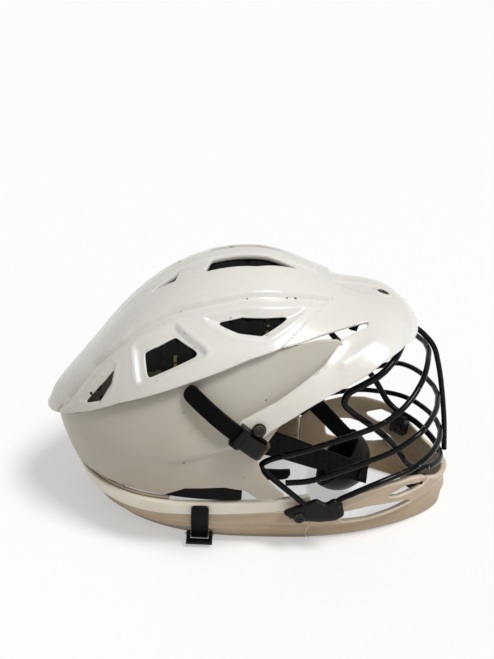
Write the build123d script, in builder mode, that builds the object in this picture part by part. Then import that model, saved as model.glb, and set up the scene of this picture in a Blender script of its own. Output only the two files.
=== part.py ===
from build123d import *
import os
from math import acos, cos, pi, sin, tan

os.makedirs("parts", exist_ok=True)

# Lacrosse helmet, +X forward, +Y to the wearer's left, +Z up, millimetres.
# The floor under the rails and the chin guard is Z zero.

# Driving sizes: reach from the middle to the tail, half width, height
tail_reach = 172.0
half_width = 113.0
crown_height = 222.0

# Walls and seams
crown_wall = 3.0
side_wall = 3.0
visor_wall = 2.7
band_wall = 3.0
rail_wall = 4.0
panel_wall = 2.0
chin_wall = 3.5
seam_gap = 0.3
running_gap = 0.05
overrun = 30.0
vent_corner = 3.0
slot_corner = 1.2

# Wires of the face mask
bar_radius = 2.3
frame_radius = 2.7

# Side buckle, its lever, the strap tail and the snap stud
buckle_fall = 35.0
buckle_lean = 7.0
strap_width = 13.0
strap_thick = 1.4
strap_gap = 0.4
tail_reach_back = 47.0
tail_reach_front = 8.0
tail_curve = 82.0
tail_apex = 5.0
tail_tip_radius = 6.0
buckle_length = 24.0
buckle_plate = 1.4
cheek_thick = 1.8
cheek_length = 9.0
cheek_round = 2.0
pin_along = 4.5
pin_radius = 1.2
knuckle_radius = 2.2
lever_reach = 26.0
lever_thick = 1.8
lever_drop = 2.6
lever_bulge = 2.4
stud_along = 13.0
stud_across = 12.0
stud_radius = 2.0
stud_root = 1.5
stud_cap_radius = 3.6
stud_cap_thick = 1.2
stud_ear_radius = 5.0

# Rear straps with their steel bars and hooks
rear_strap_width = 14.0
rear_strap_thick = 1.6
rear_bar_length = 23.0
rear_bar_radius = 1.2
rear_eye_wall = 1.6
rear_hook_length = 10.0
rear_hook_thick = 2.2
rear_hook_width = 21.0
rear_arm_width = 2.6

# Screws, nuts and clips
screw_head_radius = 4.5
screw_head_height = 1.8
screw_shank_radius = 1.8
screw_slot_width = 1.1
screw_slot_depth = 0.9
nut_radius = 4.6
nut_height = 3.0
seat_depth = 0.5
clip_thick = 6.2
inner_clip_width = 15.0
inner_clip_height = 18.0
side_screw_length = 15.0
side_boss_radius = 4.2
inner_screw_length = 11.0
visor_screw_length = 6.0

# Chin cup, its pad and its straps
cup_radius = 29.0
cup_wall = 3.0
cup_pad_wall = 4.0
cup_slot_width = 5.0
cup_slot_share = 0.9
chin_strap_thick = 2.0
anchor_radius = 6.5
anchor_thick = 2.2
strap_bend = 14.0
snap_gap = 0.4
cup_snap_radius = 5.0
cup_snap_thick = 1.8

# Liner pads, jaw pads and the nape cradle on its guide
crown_pad_wall = 12.0
temple_pad_wall = 10.0
side_pad_wall = 11.0
brow_pad_wall = 8.0
jaw_pad_wall = 11.0
jaw_lobe_inset = 13.0
pad_seat = 0.3
cradle_wall = 6.0
tongue_length = 17.0
guide_width = 24.0
guide_height = 10.0
guide_wall = 2.5
tongue_gap = 0.3


# Shares of the driving sizes turned to places
def across(x, z):
    return (x * tail_reach, z * crown_height)


def above(x, y):
    return (x * tail_reach, y * half_width)


def spot(x, y, z):
    return Vector(x * tail_reach, y * half_width, z * crown_height)


# Each finished piece is labelled and written under its name
def keep(piece, label):
    piece.part.label = label
    export_step(piece.part, f"parts/{label}.step")


def keep_pair(piece, label):
    keep(piece, f"{label}_right")
    with BuildPart() as twin:
        add(mirror(piece.part, about=Plane.XZ, mode=Mode.PRIVATE))
    keep(twin, f"{label}_left")


# An arch across the helmet: a full rounded dome over a flat chord
arch_steps = 12
arch_side_power = 0.95
arch_top_power = 0.87


def arch_points(half, low, top):
    points = []
    for step in range(arch_steps + 1):
        angle = pi * step / arch_steps
        swing, lift = cos(angle), abs(sin(angle))
        side = abs(swing) ** arch_side_power
        points.append((half * (side if swing > 0 else -side), low + (top - low) * lift ** arch_top_power))
    return points


# Arches at stations along X, lofted; the end stations move in by the inset
def arch_loft(rows_shares, inset):
    last = len(rows_shares) - 1
    with BuildPart() as body:
        for row, (x, half, low, top) in enumerate(rows_shares):
            place = x * tail_reach + inset * (1 - 2 * row / last)
            rim_points = arch_points(half * half_width - inset, low * crown_height,
                                     top * crown_height - inset)
            with BuildSketch(Plane.YZ.offset(place)):
                with BuildLine():
                    rim = Spline(*rim_points, tangents=((0, 1), (0, -1)))
                    Line(rim @ 1, rim @ 0)
                make_face()
        loft()
    return body.part


# Plan outlines at heights along Z, lofted: a rear and a front half ellipse
half_turn = 180


def plan_loft(rows_shares, inset):
    with BuildPart() as body:
        for z, rear, half, middle, front in rows_shares:
            centre = (middle * tail_reach, 0)
            wide = half * half_width - inset
            with BuildSketch(Plane.XY.offset(z * crown_height)):
                with BuildLine():
                    EllipticalCenterArc(centre, (middle - rear) * tail_reach - inset, wide,
                                        start_angle=90, arc_size=half_turn)
                    EllipticalCenterArc(centre, (front - middle) * tail_reach - inset, wide,
                                        start_angle=-90, arc_size=half_turn)
                make_face()
        loft()
    return body.part


# Bow outlines at heights along Z, lofted: a blunt nose with a flat back
def bow_loft(rows_shares, inset):
    with BuildPart() as body:
        for z, back, half, front, nose_power, side_power in rows_shares:
            reach = (front - back) * tail_reach - inset
            wide = half * half_width - inset
            points = []
            for step in range(arch_steps + 1):
                angle = pi * step / arch_steps
                swing, lift = cos(angle), abs(sin(angle))
                side = abs(swing) ** side_power
                points.append((back * tail_reach + reach * lift ** nose_power,
                               wide * (side if swing > 0 else -side)))
            with BuildSketch(Plane.XY.offset(z * crown_height)):
                with BuildLine():
                    rim = Spline(*points)
                    Line(rim @ 1, rim @ 0)
                make_face()
        loft()
    return body.part


# A side outline pushed through the whole width
def side_prism(points_shares, corner=0.0):
    with BuildPart() as prism:
        with BuildSketch(Plane.XZ) as face:
            with BuildLine():
                Polyline(*[across(x, z) for x, z in points_shares], close=True)
            make_face()
            if corner:
                fillet(face.vertices(), corner)
        extrude(amount=half_width + overrun, both=True)
    return prism.part


# A plan outline pushed up through the crown, on both sides
top_cut_share = 0.8


def top_prism(points_shares, corner):
    with BuildPart() as prism:
        with BuildSketch(Plane.XY.offset(crown_height * top_cut_share)) as face:
            with BuildLine():
                Polyline(*[above(x, y) for x, y in points_shares], close=True)
            make_face()
            fillet(face.vertices(), corner)
            mirror(about=Plane.XZ)
        extrude(amount=crown_height)
    return prism.part


# Screws: a round cross head on its seat, with the shank below; z points out
def screw(place, shank_length):
    with BuildPart() as body:
        with BuildSketch(place):
            Circle(screw_head_radius)
        extrude(amount=screw_head_height)
        fillet(body.edges().group_by(Axis(place.origin, place.z_dir))[-1], screw_head_height / 2)
        with BuildSketch(place):
            Circle(screw_shank_radius)
        extrude(amount=-shank_length)
        with BuildSketch(place.offset(screw_head_height)):
            Rectangle(screw_head_radius, screw_slot_width)
            Rectangle(screw_slot_width, screw_head_radius)
        extrude(amount=-screw_slot_depth, mode=Mode.SUBTRACT)
    return body


def bore(place, radius, above, below):
    with BuildPart() as cutter:
        with BuildSketch(place.offset(above)):
            Circle(radius)
        extrude(amount=-above - below)
    return cutter.part


screw_bore_radius = screw_shank_radius + running_gap

# Side clips stand upright beside the rail, the inner clips square to the bow
side_clip_share = 0.779
side_screw_shares = (0.2326, 0.1604)
side_clip_face = side_clip_share * half_width + clip_thick
side_screw_x, side_screw_z = across(*side_screw_shares)
side_screw_place = Plane(origin=(side_screw_x, -side_clip_face, side_screw_z), x_dir=(1, 0, 0), z_dir=(0, -1, 0))

inner_clip_turn = 47.0
inner_clip_shares = (0.791, -0.383, 0.225)
inner_screw_drop = 4.0
inner_out = (cos(inner_clip_turn * pi / 180), -sin(inner_clip_turn * pi / 180), 0)
inner_clip_place = Plane(origin=spot(*inner_clip_shares), x_dir=(-inner_out[1], inner_out[0], 0), z_dir=inner_out)
inner_screw_origin = inner_clip_place.origin - Vector(0, 0, inner_screw_drop)
inner_screw_place = Plane(origin=inner_screw_origin, x_dir=inner_clip_place.x_dir,
                          z_dir=(-inner_out[0], -inner_out[1], 0))

# The visor screw on its slanted seat
visor_screw_shares = (0.593, 0.8662)
visor_screw_tilt = 16.0
visor_screw_x, visor_screw_z = across(*visor_screw_shares)
visor_screw_place = Plane(origin=(visor_screw_x, 0, visor_screw_z), x_dir=(0, 1, 0),
                          z_dir=(sin(visor_screw_tilt * pi / 180), 0, cos(visor_screw_tilt * pi / 180)))
visor_seat_radius = screw_head_radius + seat_depth

# Upper shell: arches from the tail to the forehead, above the ridge line
crown_rows_shares = [
    (-0.9826, 0.1239, 0.3153, 0.4054),
    (-0.9302, 0.3363, 0.3243, 0.473),
    (-0.8256, 0.5664, 0.3514, 0.5721),
    (-0.6686, 0.7611, 0.3784, 0.7297),
    (-0.4651, 0.9027, 0.3829, 0.8829),
    (-0.2035, 0.9823, 0.3829, 0.982),
    (0.0581, 0.9956, 0.3829, 0.9955),
    (0.2907, 0.9469, 0.3829, 0.9369),
    (0.5349, 0.8319, 0.3829, 0.8874),
]
ridge_shares = [
    (-1, 0.3559),
    (-0.8953, 0.4144),
    (-0.8023, 0.464),
    (-0.593, 0.5631),
    (-0.3314, 0.6577),
    (-0.0349, 0.7613),
    (0.0756, 0.7878),
]
crown_front_shares = [
    (0.0988, 0.7941),
    (0.2151, 0.8604),
    (0.3372, 0.8964),
    (0.3721, 1.0586),
    (-1.0465, 1.0586),
]
quad_vent_shares = [
    (-0.5058, 0.7297),
    (-0.3663, 0.7973),
    (-0.25, 0.7658),
    (-0.4826, 0.6622),
]
rear_vent_shares = [
    (-0.7791, 0.5045),
    (-0.7209, 0.5676),
    (-0.6337, 0.6532),
    (-0.6512, 0.6081),
    (-0.6919, 0.545),
]
side_vent_shares = [
    (-0.1919, 0.8559),
    (-0.0756, 0.8784),
    (0.1395, 0.8806),
    (0.0116, 0.8311),
    (-0.0872, 0.8356),
]
crown_slot_shares = [
    (-0.25, 0.2478),
    (-0.2267, 0.0973),
    (0.0349, 0.0885),
    (0.1802, 0.1416),
    (-0.0174, 0.2478),
]
tail_slot_shares = [
    (-0.5, 0.1858),
    (-0.3721, 0.1062),
    (-0.3837, 0.2212),
]

with BuildPart() as crown_shell:
    add(arch_loft(crown_rows_shares, 0))
    add(arch_loft(crown_rows_shares, crown_wall), mode=Mode.SUBTRACT)
    add(side_prism(ridge_shares + crown_front_shares), mode=Mode.INTERSECT)
    add(side_prism(quad_vent_shares, vent_corner), mode=Mode.SUBTRACT)
    for vent_shares in (rear_vent_shares, side_vent_shares):
        add(side_prism(vent_shares, slot_corner), mode=Mode.SUBTRACT)
    for slot_shares in (crown_slot_shares, tail_slot_shares):
        add(top_prism(slot_shares, slot_corner), mode=Mode.SUBTRACT)
keep(crown_shell, "crown_shell")

# Side shell: plan outlines from the jaw up to the ridge line
side_rows_shares = [
    (0.1802, -0.8488, 0.8319, -0.2907, 0.9593),
    (0.2793, -0.907, 0.9115, -0.2209, 0.9593),
    (0.3964, -0.9477, 0.9602, -0.1453, 1.0174),
    (0.5631, -0.8779, 0.915, -0.0698, 1.1628),
    (0.8108, -0.5988, 0.7345, -0.0291, 0.8837),
]
side_front_shares = [
    (0.2674, 0.8149),
    (0.3081, 0.7883),
    (0.2674, 0.6937),
    (0.1163, 0.5495),
    (0.0174, 0.4324),
    (0.0465, 0.3604),
    (0.093, 0.3108),
    (0.1337, 0.2748),
    (0.0814, 0.2545),
    (0.0174, 0.2568),
    (-0.0233, 0.2973),
    (-0.1163, 0.3131),
    (-0.2907, 0.2973),
    (-0.3837, 0.2387),
    (-1.0465, 0.2297),
]
with BuildPart() as side_shell:
    add(plan_loft(side_rows_shares, 0))
    add(plan_loft(side_rows_shares, side_wall), mode=Mode.SUBTRACT)
    lowered_ridge = [(x, z - seam_gap / crown_height) for x, z in ridge_shares]
    add(side_prism(lowered_ridge + side_front_shares), mode=Mode.INTERSECT)
keep(side_shell, "side_shell")

# Visor with its side arms
visor_rows_shares = [
    (-0.1279, 1.0513, 0.3829, 0.9775),
    (0.0581, 1.0177, 0.3829, 0.982),
    (0.2442, 0.9912, 0.4234, 0.9369),
    (0.407, 0.9292, 0.5045, 0.8964),
    (0.5349, 0.8496, 0.6081, 0.8829),
    (0.6279, 0.708, 0.6847, 0.8649),
    (0.7035, 0.4779, 0.7207, 0.8333),
    (0.7616, 0.1593, 0.7342, 0.7838),
]
visor_shares = [
    (0.3744, 1.0586),
    (0.3395, 0.8964),
    (0.2174, 0.859),
    (0.1012, 0.7932),
    (0.0779, 0.7878),
    (0.2674, 0.818),
    (0.5233, 0.8446),
    (0.3488, 0.8036),
    (0.2791, 0.7432),
    (0.0872, 0.6396),
    (-0.064, 0.5766),
    (-0.0872, 0.518),
    (-0.0116, 0.4775),
    (0.0698, 0.5405),
    (0.2209, 0.6171),
    (0.314, 0.6577),
    (0.4128, 0.6937),
    (0.4767, 0.7207),
    (0.5407, 0.7523),
    (0.5988, 0.7703),
    (0.6628, 0.7838),
    (0.8198, 0.7477),
    (0.8198, 1.0586),
]
with BuildPart() as visor:
    add(arch_loft(visor_rows_shares, 0))
    add(arch_loft(visor_rows_shares, visor_wall), mode=Mode.SUBTRACT)
    add(side_prism(visor_shares), mode=Mode.INTERSECT)
    add(bore(visor_screw_place, visor_seat_radius, overrun, 0), mode=Mode.SUBTRACT)
    add(bore(visor_screw_place, screw_bore_radius, overrun, overrun), mode=Mode.SUBTRACT)
keep(visor, "visor")

# Jaw band and base rail
band_rows_shares = [
    (0.15, -0.8198, 0.823, -0.3488, 0.7558),
    (0.2162, -0.8547, 0.8761, -0.3488, 0.7558),
]
rail_rows_shares = [
    (0, -0.6919, 0.6195, -0.0581, 1.2791),
    (0.0721, -0.7558, 0.7257, -0.1744, 1.1628),
    (0.1486, -0.8081, 0.8142, -0.2907, 1.0465),
]
band_outline_shares = [
    (-1.0465, 0.1351),
    (0.289, 0.1351),
    (0.289, 0.1982),
    (0.2558, 0.2703),
    (-1.0465, 0.2703),
]
rail_outline_shares = [
    (-1.0465, -0.0225),
    (0.289, -0.0225),
    (0.289, 0.2703),
    (-1.0465, 0.2703),
]
with BuildPart() as jaw_band:
    add(plan_loft(band_rows_shares, 0))
    add(plan_loft(band_rows_shares, band_wall), mode=Mode.SUBTRACT)
    add(side_prism(band_outline_shares), mode=Mode.INTERSECT)
    side_bore = bore(side_screw_place, screw_bore_radius, 0, overrun)
    add(side_bore, mode=Mode.SUBTRACT)
    add(mirror(side_bore, about=Plane.XZ, mode=Mode.PRIVATE), mode=Mode.SUBTRACT)
keep(jaw_band, "jaw_band")

# Recessed panel behind the gap between the band and the side shell
panel_rows_shares = [
    (0.1712, -0.8128, 0.8097, -0.3488, 0.7267),
    (0.2162, -0.8337, 0.8442, -0.3488, 0.7267),
    (0.2793, -0.8576, 0.8407, -0.3023, 0.7849),
]
panel_outline_shares = [
    (-1.0465, 0.1622),
    (-0.3256, 0.1622),
    (-0.3488, 0.2279),
    (-1.0465, 0.2279),
]
with BuildPart() as band_panel:
    add(plan_loft(panel_rows_shares, 0))
    add(plan_loft(panel_rows_shares, panel_wall), mode=Mode.SUBTRACT)
    add(side_prism(panel_outline_shares), mode=Mode.INTERSECT)
keep(band_panel, "band_panel")

with BuildPart() as base_rail:
    add(plan_loft(rail_rows_shares, 0))
    add(plan_loft(rail_rows_shares, rail_wall), mode=Mode.SUBTRACT)
    add(side_prism(rail_outline_shares), mode=Mode.INTERSECT)
keep(base_rail, "base_rail")

# Chin guard: bow outlines, cut by the rim line, with slots
chin_rows_shares = [
    (0, 0.2907, 0.6018, 1, 1.38, 1.3),
    (0.1351, 0.2907, 0.7345, 1.0058, 1.25, 1.1),
    (0.2793, 0.2907, 0.8319, 0.9826, 1.1, 1),
]
chin_rim_shares = [
    (0.2907, -0.0225),
    (0.2907, 0.1441),
    (0.4186, 0.2207),
    (0.5233, 0.2523),
    (0.6395, 0.2703),
    (0.7558, 0.2703),
    (0.8256, 0.2523),
    (0.8837, 0.2207),
    (0.9419, 0.1937),
    (1.0465, 0.1712),
    (1.0465, -0.0225),
]
big_slot_shares = [
    (0.4419, 0.1486),
    (0.5698, 0.1577),
    (0.7558, 0.1351),
    (0.6628, 0.1126),
    (0.5465, 0.0991),
    (0.4477, 0.1036),
]
small_slot_shares = [
    (0.6628, 0.2072),
    (0.75, 0.2297),
    (0.8314, 0.2162),
    (0.7151, 0.1937),
]
with BuildPart() as chin_guard:
    add(bow_loft(chin_rows_shares, 0))
    add(bow_loft(chin_rows_shares, chin_wall), mode=Mode.SUBTRACT)
    add(side_prism(chin_rim_shares), mode=Mode.INTERSECT)
    for slot_shares in (big_slot_shares, small_slot_shares):
        add(side_prism(slot_shares, slot_corner), mode=Mode.SUBTRACT)
    inner_bore = bore(inner_screw_place, screw_bore_radius, 0, inner_screw_length)
    add(inner_bore, mode=Mode.SUBTRACT)
    add(mirror(inner_bore, about=Plane.XZ, mode=Mode.PRIVATE), mode=Mode.SUBTRACT)
keep(chin_guard, "chin_guard")

# A wire bent through points, each corner as round as its two runs allow
bend_share = 0.45


def bend_radii(points):
    radii = []
    for before, corner, after in zip(points, points[1:], points[2:]):
        run_in, run_out = corner - before, after - corner
        turn = run_in.get_angle(run_out) * pi / 180
        radii.append(bend_share * min(run_in.length, run_out.length) / tan(turn / 2))
    return radii


def wire(points_shares, radius, lift=0.0):
    points = [spot(x, y, z) for x, y, z in points_shares]
    points = [Vector(p.X, p.Y - lift if p.Y else 0, p.Z) for p in points]
    with BuildPart() as bar:
        with BuildLine() as route:
            FilletPolyline(*points, radius=bend_radii(points))
        with BuildSketch(Plane(origin=route.line @ 0, z_dir=route.line % 0)):
            Circle(radius)
        sweep()
    return bar.part


# The near half of a wire and its mirror image, joined at the middle
def hoop(points_shares, radius):
    with BuildPart() as whole:
        add(wire(points_shares, radius))
        mirror(about=Plane.XZ)
    return whole


frame_route_shares = [
    (0.6919, 0, 0.7568),
    (0.6919, -0.1062, 0.7568),
    (0.6744, -0.354, 0.7523),
    (0.6221, -0.531, 0.7207),
    (0.5581, -0.6195, 0.6802),
    (0.4767, -0.6637, 0.6486),
    (0.407, -0.6903, 0.6216),
    (0.3953, -0.6814, 0.5766),
    (0.4477, -0.6549, 0.536),
    (0.564, -0.6106, 0.4685),
    (0.6628, -0.5487, 0.3919),
    (0.7384, -0.4956, 0.3018),
    (0.7907, -0.4602, 0.2703),
    (0.8721, -0.3717, 0.2545),
    (0.936, -0.2212, 0.2387),
    (0.9651, -0.0885, 0.2275),
    (0.9651, 0, 0.2275),
]
top_bar_shares = [
    (0.8372, 0, 0.6622),
    (0.8372, -0.0796, 0.6622),
    (0.8081, -0.2832, 0.6532),
    (0.7791, -0.4159, 0.6261),
    (0.7267, -0.5398, 0.5856),
    (0.6628, -0.6283, 0.545),
    (0.5698, -0.6991, 0.5045),
    (0.4186, -0.7611, 0.4685),
    (0.2209, -0.8009, 0.4167),
    (0.0814, -0.8053, 0.3829),
    (0.032, -0.8053, 0.3559),
    (0.0872, -0.8053, 0.3153),
    (0.1628, -0.8053, 0.2658),
    (0.2442, -0.8053, 0.214),
    (0.3023, -0.8053, 0.1712),
]
middle_bar_shares = [
    (0.911, 0, 0.4797),
    (0.911, -0.0796, 0.4797),
    (0.8779, -0.3009, 0.4797),
    (0.8372, -0.4425, 0.4752),
    (0.7791, -0.5929, 0.4595),
    (0.657, -0.6903, 0.4054),
    (0.4244, -0.7699, 0.3423),
    (0.2674, -0.8053, 0.3005),
    (0.1587, -0.8053, 0.291),
]
lower_bar_shares = [
    (0.9477, 0, 0.3333),
    (0.9477, -0.0796, 0.3333),
    (0.9244, -0.2301, 0.3333),
    (0.8721, -0.4071, 0.3311),
    (0.814, -0.5265, 0.3243),
    (0.75, -0.6195, 0.3131),
    (0.6279, -0.7168, 0.2973),
    (0.5349, -0.7655, 0.2748),
    (0.4651, -0.7965, 0.2545),
    (0.407, -0.8053, 0.232),
    (0.3808, -0.8053, 0.2027),
    (0.3779, -0.8053, 0.1667),
]
centre_bar_shares = [
    (0.7267, 0, 0.7545),
    (0.7936, 0, 0.7275),
    (0.8738, 0, 0.668),
    (0.9186, 0, 0.5586),
    (0.9488, 0, 0.455),
    (0.9767, 0, 0.3423),
    (0.9942, 0, 0.2297),
]
for label, route_shares, radius in (("mask_frame", frame_route_shares, frame_radius),
                                    ("mask_bar_top", top_bar_shares, bar_radius),
                                    ("mask_bar_middle", middle_bar_shares, bar_radius),
                                    ("mask_bar_lower", lower_bar_shares, bar_radius)):
    keep(hoop(route_shares, radius), label)

# The centre bar stands in front of the loops
with BuildPart() as mask_bar_centre:
    add(wire(centre_bar_shares, bar_radius))
keep(mask_bar_centre, "mask_bar_centre")

# Side clips over the wires' ends
side_clip_shares = [
    (0.1512, 0.1712),
    (0.2093, 0.1419),
    (0.3256, 0.1374),
    (0.3953, 0.1441),
    (0.4419, 0.1667),
    (0.4186, 0.2297),
    (0.3023, 0.2297),
    (0.2558, 0.2117),
]
with BuildPart() as side_clip:
    with BuildSketch(Plane.XZ.offset(side_clip_share * half_width)) as face:
        with BuildLine():
            Polyline(*[across(x, z) for x, z in side_clip_shares], close=True)
        make_face()
        fillet(face.vertices(), vent_corner)
    extrude(amount=clip_thick)
    with BuildSketch(side_screw_place.offset(-clip_thick)):
        Circle(side_boss_radius)
    extrude(amount=-clip_thick * 2)
    for rows_shares in (band_rows_shares, rail_rows_shares):
        add(plan_loft(rows_shares, -seam_gap), mode=Mode.SUBTRACT)
    for route_shares in (top_bar_shares, lower_bar_shares):
        add(wire(route_shares, bar_radius + running_gap), mode=Mode.SUBTRACT)
    add(side_bore, mode=Mode.SUBTRACT)
keep_pair(side_clip, "side_clip")
keep_pair(screw(side_screw_place, side_screw_length), "side_clip_screw")

# Inner clips on the bow, under the frame wire
with BuildPart() as inner_clip:
    with BuildSketch(inner_clip_place):
        Rectangle(inner_clip_width, inner_clip_height)
    extrude(amount=overrun)
    add(bow_loft(chin_rows_shares, chin_wall + seam_gap), mode=Mode.INTERSECT)
    add(wire(frame_route_shares, frame_radius + running_gap), mode=Mode.SUBTRACT)
    add(inner_bore, mode=Mode.SUBTRACT)
keep_pair(inner_clip, "inner_clip")
keep_pair(screw(inner_screw_place, inner_screw_length), "inner_clip_screw")

# Visor screw and its nut under the forehead
keep(screw(visor_screw_place, visor_screw_length), "visor_screw")
nut_top = visor_wall - seat_depth + seam_gap
with BuildPart() as visor_nut:
    with BuildSketch(visor_screw_place.offset(-nut_top)):
        RegularPolygon(nut_radius, side_count=6)
        Circle(screw_bore_radius, mode=Mode.SUBTRACT)
    extrude(amount=-nut_height)
keep(visor_nut, "visor_nut")

# Side buckle: u runs forward and down along the strap, n points out
buckle_spot_shares = (-0.0814, -1.009, 0.5405)
fall, lean = buckle_fall * pi / 180, buckle_lean * pi / 180
buckle_n = Vector(0, -cos(lean), sin(lean))
buckle_u = Vector(cos(fall), -sin(fall) * sin(lean), -sin(fall) * cos(lean))
buckle_place = Plane(origin=spot(*buckle_spot_shares), x_dir=buckle_u, z_dir=buckle_n)
buckle_side = Plane(origin=spot(*buckle_spot_shares), x_dir=buckle_u, z_dir=-buckle_place.y_dir)
strap_floor = buckle_plate + strap_gap
pin_height = strap_floor + strap_thick + strap_gap + knuckle_radius
cheek_inside = strap_width / 2 + strap_gap
buckle_half = cheek_inside + cheek_thick

with BuildPart() as side_buckle:
    with BuildSketch(buckle_place):
        with Locations((buckle_length / 2, 0)):
            RectangleRounded(buckle_length, 2 * buckle_half, cheek_round)
        with Locations((stud_along, stud_across)):
            Circle(stud_ear_radius)
        with Locations((stud_along, stud_across / 2)):
            Rectangle(2 * stud_ear_radius, stud_across)
    extrude(amount=buckle_plate)
    for side in (-1, 1):
        with BuildSketch(buckle_side.offset(side * (cheek_inside + cheek_thick / 2))):
            with BuildLine():
                Polyline((0, 0), (cheek_length, 0), (cheek_length, pin_height),
                         (cheek_length - knuckle_radius, pin_height + knuckle_radius),
                         (cheek_round, pin_height + knuckle_radius), (0, pin_height), close=True)
            make_face()
        extrude(amount=cheek_thick / 2, both=True)
    with BuildSketch(buckle_side):
        with Locations((pin_along, pin_height)):
            Circle(pin_radius + running_gap)
    extrude(amount=buckle_half + overrun, both=True, mode=Mode.SUBTRACT)
    with BuildSketch(buckle_place):
        with Locations((stud_along, stud_across)):
            Circle(stud_radius + running_gap)
    extrude(amount=overrun, both=True, mode=Mode.SUBTRACT)
keep_pair(side_buckle, "side_buckle")

with BuildPart() as buckle_pin:
    with BuildSketch(buckle_side):
        with Locations((pin_along, pin_height)):
            Circle(pin_radius)
    extrude(amount=buckle_half, both=True)
keep_pair(buckle_pin, "buckle_pin")

# Lever: a knuckle on the pin and a bowed plate over the strap
lever_half = cheek_inside - seam_gap
lever_top = pin_height + knuckle_radius
with BuildPart() as buckle_lever:
    with BuildSketch(buckle_side):
        with BuildLine():
            tip_low = (lever_reach, lever_top - lever_drop - lever_thick)
            tip_high = (lever_reach, lever_top - lever_drop)
            Line((pin_along, lever_top - lever_thick), (pin_along, lever_top))
            ThreePointArc((pin_along, lever_top),
                          ((pin_along + lever_reach) / 2, lever_top + lever_bulge - lever_drop / 2), tip_high)
            Line(tip_high, tip_low)
            ThreePointArc(tip_low, ((pin_along + lever_reach) / 2,
                                    lever_top + lever_bulge - lever_drop / 2 - lever_thick),
                          (pin_along, lever_top - lever_thick))
        make_face()
        with Locations((pin_along, pin_height)):
            Circle(knuckle_radius)
            Circle(pin_radius + running_gap, mode=Mode.SUBTRACT)
    extrude(amount=lever_half, both=True)
keep_pair(buckle_lever, "buckle_lever")

# Strap tail: an arc band from under the lever back to its round tip
tail_centre = (tail_apex, strap_floor - tail_curve)


def on_tail(along, radius):
    swing = along - tail_apex
    return (along, tail_centre[1] + (radius * radius - swing * swing) ** 0.5)


with BuildPart() as strap_tail:
    with BuildSketch(buckle_side):
        with BuildLine():
            low_back, low_front = on_tail(-tail_reach_back, tail_curve), on_tail(tail_reach_front, tail_curve)
            outer = tail_curve + strap_thick
            high_back, high_front = on_tail(-tail_reach_back, outer), on_tail(tail_reach_front, outer)
            ThreePointArc(low_back, on_tail(-tail_apex, tail_curve), low_front)
            Line(low_front, high_front)
            ThreePointArc(high_front, on_tail(-tail_apex, outer), high_back)
            Line(high_back, low_back)
        make_face()
    extrude(amount=strap_width / 2, both=True)
    with BuildSketch(buckle_place.offset(-tail_curve)):
        with Locations(((tail_reach_front - tail_reach_back) / 2, 0)):
            RectangleRounded(tail_reach_front + tail_reach_back, strap_width, tail_tip_radius)
    extrude(amount=2 * tail_curve, mode=Mode.INTERSECT)
keep_pair(strap_tail, "strap_tail")

# Snap stud: rooted on the visor's arm, through the buckle's ear, under a cap
stud_place = Plane(origin=buckle_place.from_local_coords(Vector(stud_along, stud_across, 0)),
                   x_dir=buckle_u, z_dir=buckle_n)
with BuildPart() as snap_stud:
    with BuildSketch(stud_place.offset(-stud_root)):
        Circle(stud_radius)
    extrude(amount=stud_root + buckle_plate + seam_gap)
    with BuildSketch(stud_place.offset(buckle_plate + seam_gap)):
        Circle(stud_cap_radius)
    extrude(amount=stud_cap_thick)
keep_pair(snap_stud, "snap_stud")

# Rear straps: down over the band and the rail to an eye on the bar
rear_strap_from_share = -0.2616
rear_strap_shares = [
    (0.868, 0.203),
    (0.838, 0.155),
    (0.742, 0.072),
]
rear_bar_shares = (0.703, 0.0275)
rear_bar_y, rear_bar_z = rear_bar_shares[0] * half_width, rear_bar_shares[1] * crown_height
rear_eye_radius = rear_bar_radius + running_gap + rear_eye_wall
rear_strap_start = rear_strap_from_share * tail_reach
rear_end = Plane.YZ.offset(rear_strap_start)

with BuildPart() as rear_strap:
    with BuildSketch(rear_end):
        with BuildLine():
            inner = [(-y * half_width, z * crown_height) for y, z in rear_strap_shares]
            inner.append((-rear_bar_y - rear_eye_radius / 2, rear_bar_z + rear_bar_radius))
            outside = [(y - rear_strap_thick, z) for y, z in reversed(inner)]
            Polyline(*inner, *outside, close=True)
        make_face()
        with Locations((-rear_bar_y, rear_bar_z)):
            Circle(rear_eye_radius)
            Circle(rear_bar_radius + running_gap, mode=Mode.SUBTRACT)
    extrude(amount=rear_strap_width)
keep_pair(rear_strap, "rear_strap")

rear_bar_start = rear_strap_start - (rear_bar_length - rear_strap_width) / 2
with BuildPart() as rear_bar:
    with BuildSketch(Plane.YZ.offset(rear_bar_start)):
        with Locations((-rear_bar_y, rear_bar_z)):
            Circle(rear_bar_radius)
    extrude(amount=rear_bar_length)
keep_pair(rear_bar, "rear_bar")

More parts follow.
